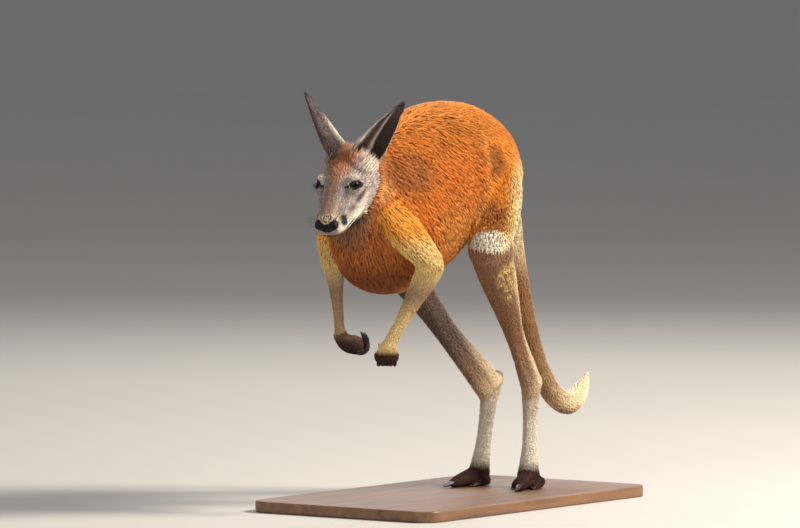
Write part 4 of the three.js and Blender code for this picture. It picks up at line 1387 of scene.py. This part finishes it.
def eyeball(eye, rows=72, columns=96):
    """A sphere about the look axis whose radius rises by the cornea: times e to the minus
    (angle / 0.62) to the fourth."""
    turn = np.linspace(0.01, np.pi - 0.01, rows)[:, None]
    around = (np.arange(columns) / columns * 2 * np.pi)[None, :]
    radius = EYE_RADIUS + CORNEA_RISE * np.exp(-(turn / 0.62) ** 4)
    places = np.stack(np.broadcast_arrays(radius * np.sin(turn) * np.cos(around),
                                          radius * np.sin(turn) * np.sin(around), radius * np.cos(turn)), axis=-1)
    points, quads, ends = closed_surface(places)
    across, up, out = points.T
    middle = np.hypot(across, up)
    streak = 0.5 + 0.5 * np.sin(np.arctan2(up, across) * 37 + 2 * np.sin(np.arctan2(up, across) * 11))
    colours = np.tile(shade(20, 13, 11), (len(points), 1))
    iris = paint(np.tile(shade(26, 13, 8), (len(points), 1)), shade(46, 24, 12), streak * smoothstep(9.6, 6.0, middle))
    colours = paint(colours, iris, smoothstep(10.2, 9.2, middle) * (out > 0))
    pupil = np.hypot(across / 6.0, up / 3.8)
    colours = paint(colours, shade(3, 2, 2), smoothstep(1.12, 0.94, pupil) * (out > 0))
    return eye.ground(points), outward_faces(points, np.concatenate([all_triangles(quads), ends])), colours


for name, _ in SIDES:
    points, faces, colours = eyeball(EYES[name])
    faces = outward_faces(points, faces)
    ball = build_object(f"eyeball_{name}", points, [faces])
    tint(ball, colours, EYE_FINISH, "eye", f"eye_{name}")
print("eyeballs of radius", EYE_RADIUS)

# %% [markdown]
# ## Claws
#
# The big claw of a hind foot is a blunt hoof-like nail, the others are small, and the ten finger
# claws are dark hooks. Each is a loft of ovals whose tip drops and narrows, in one mesh per limb.

# %% Claws
CLAW_CROSSES = [[0.0, 0.75, 1.0], [0.3, 0.7, 0.9], [0.6, 0.57, 0.68], [0.85, 0.42, 0.42], [1.0, 0.33, 0.16]]
CLAW_ROOT = 6.0             # how far a claw starts back inside its toe


def joined(name, parts):
    """One object from several (points, faces) pairs."""
    offsets = np.cumsum([0] + [len(points) for points, _ in parts])
    faces = np.concatenate([faces + offset for (_, faces), offset in zip(parts, offsets)])
    return build_object(name, np.concatenate([points for points, _ in parts]), [faces])


def horn_part(tube, domes):
    """A closed loft with 20 sides."""
    points, quads, ends = closed_surface(rings(tube, domes, 20))
    return points, outward_faces(points, np.concatenate([all_triangles(quads), ends]))


for name, sign in SIDES:
    foot, hand = FootAxes(name, sign), HandAxes(name, sign)
    parts = []
    for toe, start, length, width, height, shift in TOE_CLAWS.values():
        share, level, size = smooth_rows(CLAW_CROSSES, 5).T
        length = length - CLAW_CROSSES[-1][2] * height * 0.5
        along = start - CLAW_ROOT + (length + CLAW_ROOT) * share
        centre = foot.on_ground(along, TOES[toe][0] + shift, np.maximum(height * level, height * 0.5 * size + 0.4))
        count = (len(share), 1)
        tube = Tube(centre, np.tile(foot.across, count), np.tile([0, 0, 1.0], count),
                    width * size, height * 0.5 * size, height * 0.45 * size)
        parts.append(horn_part(tube, (2, 1.5)))
    claws = joined(f"toe_claws_{name}", parts)
    count = len(claws.data.vertices)
    nodes = [f"claw_{key}_{name}" for key in TOE_CLAWS]
    tint(claws, np.tile(shade(38, 30, 26), (count, 1)), HORN_FINISH, "claw", *nodes)
    parts = [horn_part(hand.chain(FINGER_CLAW, across), (1, 0.6)) for across in FINGER_SPREAD]
    claws = joined(f"finger_claws_{name}", parts)
    count = len(claws.data.vertices)
    nodes = [f"finger_claw_{i + 1}_{name}" for i in range(len(FINGER_SPREAD))]
    tint(claws, np.tile(shade(26, 20, 18), (count, 1)), HORN_FINISH, "claw", *nodes)
print("claws", 2 * (len(TOE_CLAWS) + len(FINGER_SPREAD)))

# %% [markdown]
# ## Lie of the coat
#
# Hair grows away from the nose: back over the face and neck, back and down over the trunk, down the
# limbs to the toes, and along the tail to its tip. On a loft that is the direction of its middle
# line, forwards or backwards. The directions of neighbouring points are then averaged again and
# again, so that the coat turns gently from one part to the next, as it does over a shoulder.

# %% Directions of the coat
ALL_TUBES = {}
for name, tube, *_ in PARTS:
    ALL_TUBES.setdefault(name, []).append(tube)
ALL_TUBES["head"] = ALL_TUBES["head"][:1]        # the brows follow the head
for name, _ in SIDES:
    ALL_TUBES[f"ear_{name}"] = [ear_tubes[name]]
TOWARDS_NOSE = ("trunk", "neck", "head")         # lofts that run against the coat
DROOP = {"trunk": 1.7, "neck": 0.7, "head": 0.12, "thigh": 0.3}
SPREAD = {"trunk": 0.1, "head": 0.22}


def loft_places(points, tubes):
    """For each point: the direction of the nearest middle line, its share along it, and the turn
    of the point round it."""
    centres = np.concatenate([tube.centre for tube in tubes])
    along = np.concatenate([unit(np.gradient(tube.centre, axis=0)) for tube in tubes])
    share = np.concatenate([np.linspace(0, 1, len(tube.centre)) for tube in tubes])
    side = np.concatenate([tube.side for tube in tubes])
    up = np.concatenate([tube.up for tube in tubes])
    gap = ((points ** 2).sum(1)[:, None] + (centres ** 2).sum(1)[None] - 2 * points @ centres.T)
    nearest = gap.argmin(axis=1)
    offset = points - centres[nearest]
    turn = np.arctan2((offset * up[nearest]).sum(1), (offset * side[nearest]).sum(1))
    ahead = (offset * along[nearest]).sum(1)
    length = sum(np.linalg.norm(np.diff(tube.centre, axis=0), axis=1).sum() for tube in tubes[:1])
    return along[nearest], share[nearest] + ahead / max(length, 1.0), turn / (2 * np.pi) + 0.5


def coat_directions(points, triangles, normals, part):
    """Middle-line directions with some droop and spread, averaged over neighbours and laid flat."""
    lie = np.zeros_like(points)
    for name, tubes in ALL_TUBES.items():
        own = part == name
        if own.any():
            lie[own] = loft_places(points[own], tubes)[0] * (-1.0 if name in TOWARDS_NOSE else 1.0)
            stem = name.split("_")[0]
            lie[own, 2] -= DROOP.get(stem, 0.0)
            lie[own] += SPREAD.get(stem, 0.0) * normals[own] * [0, 1, 0]
    ends = np.concatenate([triangles[:, [0, 1]], triangles[:, [1, 2]], triangles[:, [2, 0]]])
    count = np.maximum(np.bincount(ends[:, 0], minlength=len(points)), 1)[:, None]
    for _ in range(26):
        lie = lie - normals * (lie * normals).sum(1)[:, None]
        total = [np.bincount(ends[:, 0], weights=lie[ends[:, 1], axis], minlength=len(points)) for axis in range(3)]
        lie = unit(0.4 * lie + 0.6 * np.stack(total, axis=1) / count)
    return unit(lie - normals * (lie * normals).sum(1)[:, None])


# %% [markdown]
# ## Tufts
#
# Fur this dense is far too much to make hair by hair. A tuft stands for a small lock: a spike with
# three sides that is rooted in the skin, rises to the coat's depth and lies down along it. Locks
# part into clumps with dark gaps between, so each tuft's tip is drawn towards the middle of its
# clump, and tufts are coloured darker at a clump's edge and towards their roots: painted shade in
# the gaps and deep in the coat, with darker underfur. Every tuft is only ten triangles, and they
# are worked out together as arrays.

# %% Tuft sizes
TUFTS = {
    # length, width, tufts on a square centimetre, depth of the coat, clump size
    "trunk": (18.5, 2.1, 20.0, 8.5, 7.0),
    "neck": (16.5, 1.9, 21.0, 7.5, 6.5),
    "thigh": (16.0, 1.9, 20.0, 7.0, 6.5),
    "upper": (15.0, 1.7, 22.0, 5.5, 6.0),
    "tail": (10.0, 1.3, 18.0, 3.6, 3.6),
    "shin": (9.5, 1.3, 17.0, 3.4, 4.2),
    "forearm": (8.0, 1.15, 24.0, 2.6, 3.6),
    "foot": (7.0, 1.1, 26.0, 2.2, 3.4),
    "hand": (5.5, 0.9, 36.0, 1.4, 2.6),
    "toe": (5.5, 0.95, 34.0, 1.4, 2.8),
    "head": (7.0, 0.95, 44.0, 2.6, 3.2),
    "ear": (6.0, 0.85, 26.0, 0.9, 2.6),
}
SHORT = ("tail", "shin", "forearm", "foot", "hand", "toe", "head", "ear")
COAT_PIECES = {
    # parts covered, slot, number of pieces that share them
    "trunk": (["trunk"], "rufous_coat", 4),
    "neck": (["neck"], "rufous_coat", 1),
    "thighs": (["thigh_left", "thigh_right"], "thigh_coat", 1),
    "arms": (["upper_arm_left", "upper_arm_right", "forearm_left", "forearm_right"], "cream_coat", 1),
    "shins": (["shin_left", "shin_right"], "cream_coat", 1),
    "feet": (["foot_left", "foot_right", "toe_left", "toe_right", "hand_left", "hand_right"], "dark_coat", 1),
    "tail": (["tail"], "tail_coat", 1),
    "head": (["head"], "grey_coat", 2),
    "ears": (["ear_left", "ear_right"], "ear_coat", 1),
}
TUFT_LIMIT = 19900           # ten triangles each keep a piece under two hundred thousand
COAT_TUFTS = 141000
random = np.random.default_rng(7)


def field_distance(points):
    """The field's value between its cells: the eight around a point, weighted by nearness."""
    place = points / CELL - field.low
    cell = np.clip(np.floor(place).astype(int), 0, field.size - 2)
    part = place - cell
    total = np.zeros(len(points))
    for dx in (0, 1):
        for dy in (0, 1):
            for dz in (0, 1):
                step = np.array([dx, dy, dz])
                weight = np.prod(np.where(step, part, 1 - part), axis=1)
                total += weight * field.values[tuple((cell + step).T)]
    return total


def clump_pull(points, lie, size, seed):
    """From each point to the middle of its clump, and a number from 0 to 1 for the clump. Middles
    are strewn one to a cell of a lattice; lengthwise distance counts half, so clumps are long."""
    cell = np.floor(points / size[:, None]).astype(np.int64)
    best = np.full(len(points), np.inf)
    pull, tone = np.zeros_like(points), np.zeros(len(points))
    for step in np.ndindex(3, 3, 3):
        near = cell + np.array(step) - 1
        mixed = (near[:, 0] * 73856093 ^ near[:, 1] * 19349663 ^ near[:, 2] * 83492791 ^ seed) & 0x7FFFFFFF
        strewn = np.stack([(mixed >> shift) % 1009 / 1009.0 for shift in (3, 9, 15)], axis=1)
        offset = (near + strewn) * size[:, None] - points
        ahead = (offset * lie).sum(1)
        gap = (offset ** 2).sum(1) - 0.75 * ahead ** 2
        closer = gap < best
        best[closer], pull[closer] = gap[closer], offset[closer]
        tone[closer] = ((mixed >> 5) % 997 / 997.0)[closer]
    return pull, tone


# %% Shape of the tufts
TUFT_FACES = np.array([[0, 1, 4], [0, 4, 3], [1, 2, 5], [1, 5, 4], [2, 0, 3], [2, 3, 5],
                       [3, 4, 6], [4, 5, 6], [5, 3, 6], [0, 2, 1]])
TUFT_PATCH = np.array([[0.0, 0.0], [1.0, 0.0], [0.5, 0.1], [0.1, 0.5], [0.9, 0.5], [0.5, 0.6], [0.5, 1.0]]) * 0.003


def tuft_points(root, middle, tip, normal, width):
    """Two three-cornered rings and a tip: a ring's corners are its centre + and - side * width / 2
    and its centre + normal * width / 3."""
    side = unit(np.cross(tip - root, normal)) * width[:, None] * 0.5
    rise = normal * width[:, None] / 3
    rings_ = [root - side * 0.8, root + side * 0.8, root + rise,
              middle - side, middle + side, middle + rise, tip]
    return np.stack(rings_, axis=1)


def coat_object(name, slot, shapes, tints, patches):
    """One mesh of many tufts, with a colour at each point and the map that the bake uses."""
    count = len(shapes)
    faces = (TUFT_FACES[None] + 7 * np.arange(count)[:, None, None]).reshape(-1, 3)
    if np.einsum("i,i", np.cross(shapes[0, 1] - shapes[0, 0], shapes[0, 4] - shapes[0, 0]),
                 shapes[0, 2] - shapes[0, 0]) > 0:
        faces = faces[:, ::-1]
    coat = build_object(name, shapes.reshape(-1, 3), [faces])
    tint(coat, tints.reshape(-1, 3), COAT_FINISH, slot)
    patch = (patches[:, None] + TUFT_PATCH[None]).reshape(-1, 2)
    layer = coat.data.uv_layers.new(name="OFBake")
    layer.data.foreach_set("uv", patch[faces.ravel()].astype(np.float32).ravel())
    print(name, count, "tufts,", len(faces), "triangles")
    return coat


# %% Roots on the skin
fur_points, fur_faces, fur_tints, fur_parts = all_points, all_faces, all_tints, all_parts
fur_normals = point_normals(fur_points, fur_faces)
fur_lie = coat_directions(fur_points, fur_faces, fur_normals, fur_parts)
corner = fur_points[fur_faces]
face_area = 0.5 * np.linalg.norm(np.cross(corner[:, 1] - corner[:, 0], corner[:, 2] - corner[:, 0]), axis=1)
face_part = fur_parts[fur_faces[:, 0]]
density = np.zeros(len(fur_faces))
for name in ALL_TUBES:
    density[face_part == name] = TUFTS[name.split("_")[0]][2]
wanted = face_area / 100.0 * density
wanted *= COAT_TUFTS / wanted.sum()
for name in ALL_TUBES:
    own = face_part == name
    print(name, round(face_area[own].sum() / 100), "cm2,", round(wanted[own].sum()), "tufts")


def strew(chosen, count):
    """Roots spread evenly: triangles are picked by their share of the tufts wanted, and each root
    lies at a random place on its triangle."""
    chance = np.cumsum(wanted[chosen])
    pick = np.searchsorted(chance / chance[-1], (np.arange(count) + random.random(count)) / count)
    face = fur_faces[np.nonzero(chosen)[0][np.minimum(pick, len(chance) - 1)]]
    a, b = random.random((2, count))
    flip = a + b > 1
    a, b = np.where(flip, 1 - a, a), np.where(flip, 1 - b, b)
    weights = np.stack([1 - a - b, a, b], axis=1)

    def mix(values):
        return (values[face] * weights[..., None]).sum(1)

    return mix(fur_points), unit(mix(fur_normals)), mix(fur_lie), mix(fur_tints), fur_parts[face[:, 0]]


# %% Lay the coat
def hair_size(root, part):
    """Length, width, height and clump of each tuft: the part's own, shorter on muzzle, lips and lids,
    longer on crown, cheeks, throat and the root of the ears, shorter towards the tail's tip."""
    stem = np.array([name.split("_")[0] for name in part])
    length, width, _, depth, clump = np.array([TUFTS[name] for name in stem]).T
    along, left, up = head_places(root).T
    face, ear = stem == "head", stem == "ear"
    scale = np.where(face, 0.5 + 0.75 * smoothstep(70, -60, along), 1.0)
    scale = np.where(face & (up < -58) & (along < 20), 1.5, scale)
    scale = np.where(face & (along < -46) & (up > -14) & (np.abs(left) < 34), 1.7, scale)
    scale = np.where((stem == "thigh") & (root[:, 2] < 536), 0.55, scale)
    scale = np.where(stem == "tail", 1.0 - 0.6 * smoothstep(-235, -285, root[:, 0]), scale)
    root_of_ear = np.zeros(len(root))
    for name, (base, tip, _) in EARS.items():
        share = along_line(root, base, tip)[0]
        root_of_ear = np.where(part == f"ear_{name}", smoothstep(0.3, 0.1, share), root_of_ear)
    scale = np.where(ear, 1.0 + 1.5 * root_of_ear, scale)
    depth = np.where(ear, depth + 4.0 * root_of_ear, depth * np.minimum(scale, 1.6))
    return length * scale, width * np.where(face, 0.75 + 0.4 * scale, 1.0), depth, clump, stem


def lay_coat(name, slot, chosen, count):
    """Strews roots, leaves bare places out, turns and sizes each tuft, draws it into its clump and
    lays its tip at its height above the skin."""
    root, normal, lie, hue, part = strew(chosen, count)
    bare = near_slit(root) < 3.0
    bare |= (((head_places(root) - NOSE_CENTRE) / (NOSE_HALF * 1.02)) ** 2).sum(1) < 1
    bare |= (np.char.startswith(part, "toe") | np.char.startswith(part, "foot")) & (root[:, 2] < 7)
    root, normal, lie, hue, part = (values[~bare] for values in (root, normal, lie, hue, part))
    length, width, depth, clump, stem = hair_size(root, part)
    count = len(root)
    turned = lie + np.cross(normal, lie) * random.normal(0, 0.16, count)[:, None]
    lie = unit(turned - normal * (turned * normal).sum(1)[:, None])
    collar = np.zeros(count)
    for base, tip, _ in EARS.values():
        near = smoothstep(40, 29, np.linalg.norm((root - base) * [1, 1, 1], axis=1)) * (stem == "head")
        lie = unit(lie + (unit(tip - base) * 1.6 + normal * 0.2 - lie) * near[:, None])
        collar = np.maximum(collar, near)
    length = length * random.uniform(0.72, 1.22, count) * (1 + 0.6 * collar)
    pull, tone = clump_pull(root, lie, clump, 11)
    pull -= normal * (pull * normal).sum(1)[:, None]
    sideways = pull - lie * (pull * lie).sum(1)[:, None]
    ridge = 1 - np.clip(np.linalg.norm(sideways, axis=1) / (0.58 * clump), 0, 1) ** 1.6
    height = depth * random.uniform(0.7, 1.0, count) * (0.52 + 0.36 * ridge + 0.12 * tone)
    middle = root + lie * (0.45 * length)[:, None] + sideways * 0.35
    tip = root + lie * length[:, None] + sideways * 0.6 + pull * 0.28
    near_eye = np.min([np.linalg.norm(root - eye.centre, axis=1) for eye in EYES.values()], axis=0)
    follow = smoothstep(20, 27, near_eye) * (stem != "ear") * (1 - collar)
    middle += normal * (follow * (0.66 * height - field_distance(middle)) + (1 - follow) * 0.5 * height)[:, None]
    tip += normal * (follow * (height - field_distance(tip)) + (1 - follow) * 0.6 * height)[:, None]
    shapes = tuft_points(root - normal * 0.8, middle, tip, normal, width)
    on_body = stem != "ear"
    hue[on_body] = body_colours(root[on_body], part[on_body])
    short = np.isin(stem, SHORT) | ((stem == "thigh") & (root[:, 2] < 536))
    # Tufts near a clump's edge are darker, painted shade in the gaps between clumps; each clump also has a random tone
    # of its own.
    tone_and_gap_shade = 0.26 + 0.26 * tone + 0.86 * ridge + random.normal(0, 0.06, count)
    hue = hue * np.where(short, 0.66 + 0.46 * tone_and_gap_shade, tone_and_gap_shade)[:, None]
    # Each tuft is darker towards its root and lighter at its tip: darker underfur and painted shade deep in the coat,
    # paler hair tips and painted light on the tips.
    root_shade_tip_light = np.array([0.3, 0.3, 0.34, 0.8, 0.8, 0.86, 1.15])
    tints = np.clip(hue[:, None] * root_shade_tip_light[None, :, None], 0, 1)
    names = list(dict.fromkeys(part))
    patches = np.zeros((count, 2))
    for column, own_name in enumerate(names):
        own = part == own_name
        _, share, turn = loft_places(root[own], ALL_TUBES[own_name])
        share = (share - share.min()) / max(np.ptp(share), 1e-6)
        turn = (turn - turn.min()) / max(np.ptp(turn), 1e-6)
        patches[own, 0] = (column + turn * 0.98) / len(names) * 0.996
        patches[own, 1] = share * 0.996
    return coat_object(name, slot, shapes, tints, patches)


middle_x = fur_points[fur_faces].mean(axis=1)[:, 0]
for name, (parts, slot, pieces) in COAT_PIECES.items():
    own = np.isin(face_part, parts)
    order = np.argsort(middle_x[own])
    running = np.cumsum(wanted[own][order])
    group = np.zeros(own.sum(), int)
    group[order] = np.minimum((running / running[-1] * pieces).astype(int), pieces - 1)
    for piece in range(pieces):
        chosen = own.copy()
        chosen[own] = group == piece
        count = min(int(round(wanted[chosen].sum())), TUFT_LIMIT)
        ending = f"_{piece + 1}" if pieces > 1 else ""
        lay_coat(f"coat_{name}{ending}", slot, chosen, count)

# %% [markdown]
# ## Lashes and whiskers
#
# The upper lid carries a thick fan of dark lashes and the lip a few long whiskers. They are the same
# three-sided spikes as the tufts, longer and thinner, rooted on the lid's edge curve and on rows of
# the lip.

# %% Lashes and whiskers
LASHES, LASH_LENGTH, LASH_WIDTH = 34, 12.0, 0.75
WHISKERS, WHISKER_LENGTH, WHISKER_WIDTH = 16, 34.0, 0.32


def lashes(eye):
    """Roots at even turns along the upper lid; each lash leaves along the look, leans away from the
    middle of the lid and curves towards the brow."""
    turn = np.radians(np.linspace(14, 172, LASHES)) + random.normal(0, 0.02, LASHES)
    x, y = slit_edge(turn)
    height = np.sqrt(np.maximum((EYE_RADIUS + 1.6) ** 2 - x ** 2 - y ** 2, 1.0))
    root = np.stack([x, y + 0.6, height], axis=1)
    length = LASH_LENGTH * random.uniform(0.7, 1.05, LASHES) * (0.65 + 0.35 * np.sin(turn))
    lean = np.stack([0.75 * np.cos(turn) + 0.1, np.full(LASHES, 0.15), np.ones(LASHES)], axis=1)
    middle = root + unit(lean) * (0.5 * length)[:, None]
    tip = middle + unit(lean + [0.1, 0.75, -0.35]) * (0.5 * length)[:, None]
    frame_ = np.stack([eye.slit, eye.browward, eye.look])
    shapes = tuft_points(eye.ground(root), eye.ground(middle), eye.ground(tip), np.tile(eye.browward, (LASHES, 1)),
                         np.full(LASHES, LASH_WIDTH))
    return shapes


def whiskers(sign):
    """Three rows on the lip; each whisker leaves sideways and sweeps back and down."""
    row = np.arange(WHISKERS) % 3
    step = np.arange(WHISKERS) // 3
    root = np.stack([86 - 5.0 * step - 2 * row, 25 + 2.2 * step + 0 * row, -12 - 5.5 * row], axis=1) * [1, sign, 1]
    length = WHISKER_LENGTH * random.uniform(0.7, 1.1, WHISKERS)
    leave = unit(np.array([0.15, 1.0 * sign, -0.12]) + random.normal(0, 0.08, (WHISKERS, 3)))
    middle = root + leave * (0.5 * length)[:, None]
    tip = middle + unit(leave + np.array([-0.75, 0.0, -0.3])) * (0.5 * length)[:, None]
    up = np.tile(CROWNWARD, (WHISKERS, 1))
    return tuft_points(on_head(root), on_head(middle), on_head(tip), up, np.full(WHISKERS, WHISKER_WIDTH))


hairs = np.concatenate([part for name, sign in SIDES for part in (lashes(EYES[name]), whiskers(sign))])
hair_tints = np.tile(shade(12, 9, 9), (len(hairs), 7, 1))
hair_patches = random.random((len(hairs), 2)) * 0.99
coat_object("lashes_and_whiskers", "dark_coat", hairs, hair_tints, hair_patches)

# %% [markdown]
# ## Board
#
# The animal would tip over on its four toes, so it stands on a plain oiled board. The board is one
# surface: an outline of straight sides and round corners, carried over an edge profile from the
# middle of the underside to the middle of the top.

# %% Board
BOARD_HALF = (380.0, 220.0)
BOARD_CORNER, BOARD_THICK, BOARD_EDGE = 40.0, 22.0, 3.0


def board_outline(inset, columns=24):
    """The corner circles' points at a radius less the inset, each round its own centre."""
    turn = np.linspace(0, np.pi / 2, columns)
    points = []
    for quarter, (x, y) in enumerate(((1, 1), (-1, 1), (-1, -1), (1, -1))):
        centre = np.array([x * (BOARD_HALF[0] - BOARD_CORNER), y * (BOARD_HALF[1] - BOARD_CORNER)])
        angle = turn + quarter * np.pi / 2
        radius = max(BOARD_CORNER - inset, 0.5)
        points.append(centre + radius * np.stack([np.cos(angle), np.sin(angle)], axis=1))
    return np.concatenate(points)


edge_turn = np.radians(np.linspace(0, 90, 6))
inset = BOARD_EDGE * (1 - np.sin(edge_turn))
level = BOARD_EDGE * (1 - np.cos(edge_turn))
profile = [(34.0, 0.0)] + list(zip(inset, level))
profile += [(inset, BOARD_THICK - level) for inset, level in reversed(profile)]
board = np.stack([np.hstack([board_outline(inset), np.full((96, 1), level)]) for inset, level in profile])
points, quads, ends = closed_surface(board - GROUND)
faces = outward_faces(points, np.concatenate([all_triangles(quads), ends]))
stand = build_object("display_board", points, [faces], smooth=False)
stand.data.materials.append(wood_finish())
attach(stand, "root")
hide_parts("stand_base")
print("board of", BOARD_THICK, "mm")

# %% [markdown]
# ## Floor, light and camera
#
# A plain pale floor carries the board. The key light is large and stands high behind the animal's
# left shoulder, so it grazes the back and leaves the near flank in half shade; a broad soft light
# beside the camera and a pale sky fill the shadows.

# %% Floor and lights
FLOOR_HALF = 60.0
corners = np.array([[-1, -1], [1, -1], [1, 1], [-1, 1]]) * FLOOR_HALF / MM
floor = build_object("floor", np.hstack([corners, np.full((4, 1), -0.4)]) - GROUND, [np.array([[0, 1, 2, 3]])])
floor_finish = Finish("pale floor", {"Roughness": 0.9, "Specular IOR Level": 0.2})
floor_finish.set("Base Color", floor_finish.dim(tuple(shade(182, 176, 168)), 0.97 + 0.06 * floor_finish.noise(1.2)))
floor.data.materials.append(floor_finish.material)

ANIMAL = (Vector(GROUND) * MM)
LIGHTS = {
    # name: from the animal towards the light, distance, size, watts, colour
    "key": ((-0.42, 0.9, 0.8), 5.0, 1.3, 560.0, (1.0, 0.95, 0.88)),
    "fill": ((1.0, 0.25, 0.5), 5.5, 3.5, 120.0, (0.95, 0.97, 1.0)),
    "back": ((-1.0, -0.6, 0.8), 5.0, 2.5, 90.0, (1.0, 0.98, 0.95)),
}
for name, (way, distance, size, watts, colour) in LIGHTS.items():
    lamp = bpy.data.lights.new(name, "AREA")
    lamp.size, lamp.energy, lamp.color = size, watts, colour
    light = bpy.data.objects.new(name, lamp)
    way = Vector(way).normalized()
    light.location = ANIMAL + Vector((0.15, 0.0, 0.45)) + way * distance
    light.rotation_euler = way.to_track_quat("Z", "Y").to_euler()
    bpy.context.collection.objects.link(light)
world = bpy.data.worlds.new("studio")
world.use_nodes = True
world.node_tree.nodes["Background"].inputs["Color"].default_value = (0.86, 0.9, 1.0, 1.0)
world.node_tree.nodes["Background"].inputs["Strength"].default_value = 0.34
bpy.context.scene.world = world
bpy.context.scene.view_settings.view_transform = "Standard"

# %% Camera
AZIMUTH, ELEVATION, DISTANCE = math.radians(35), math.radians(5), 16.0
LENS, SENSOR = 360.0, 36.0
AIM_RIGHT, AIM_UP = -0.213, 0.443      # where the picture's middle lies beside and above the feet

towards = Vector((math.cos(ELEVATION) * math.cos(AZIMUTH),
                  math.cos(ELEVATION) * math.sin(AZIMUTH), math.sin(ELEVATION)))
right = Vector((-math.sin(AZIMUTH), math.cos(AZIMUTH), 0.0))
camera = bpy.data.objects.new("camera", bpy.data.cameras.new("camera"))
camera.data.lens, camera.data.sensor_width = LENS, SENSOR
camera.data.clip_end = 100.0
target = ANIMAL + right * AIM_RIGHT + towards.cross(right) * AIM_UP
camera.location = ANIMAL + towards * DISTANCE
camera.rotation_euler = (camera.location - target).to_track_quat("Z", "Y").to_euler()
bpy.context.collection.objects.link(camera)
bpy.context.scene.camera = camera
print("camera", [round(v, 3) for v in camera.location])
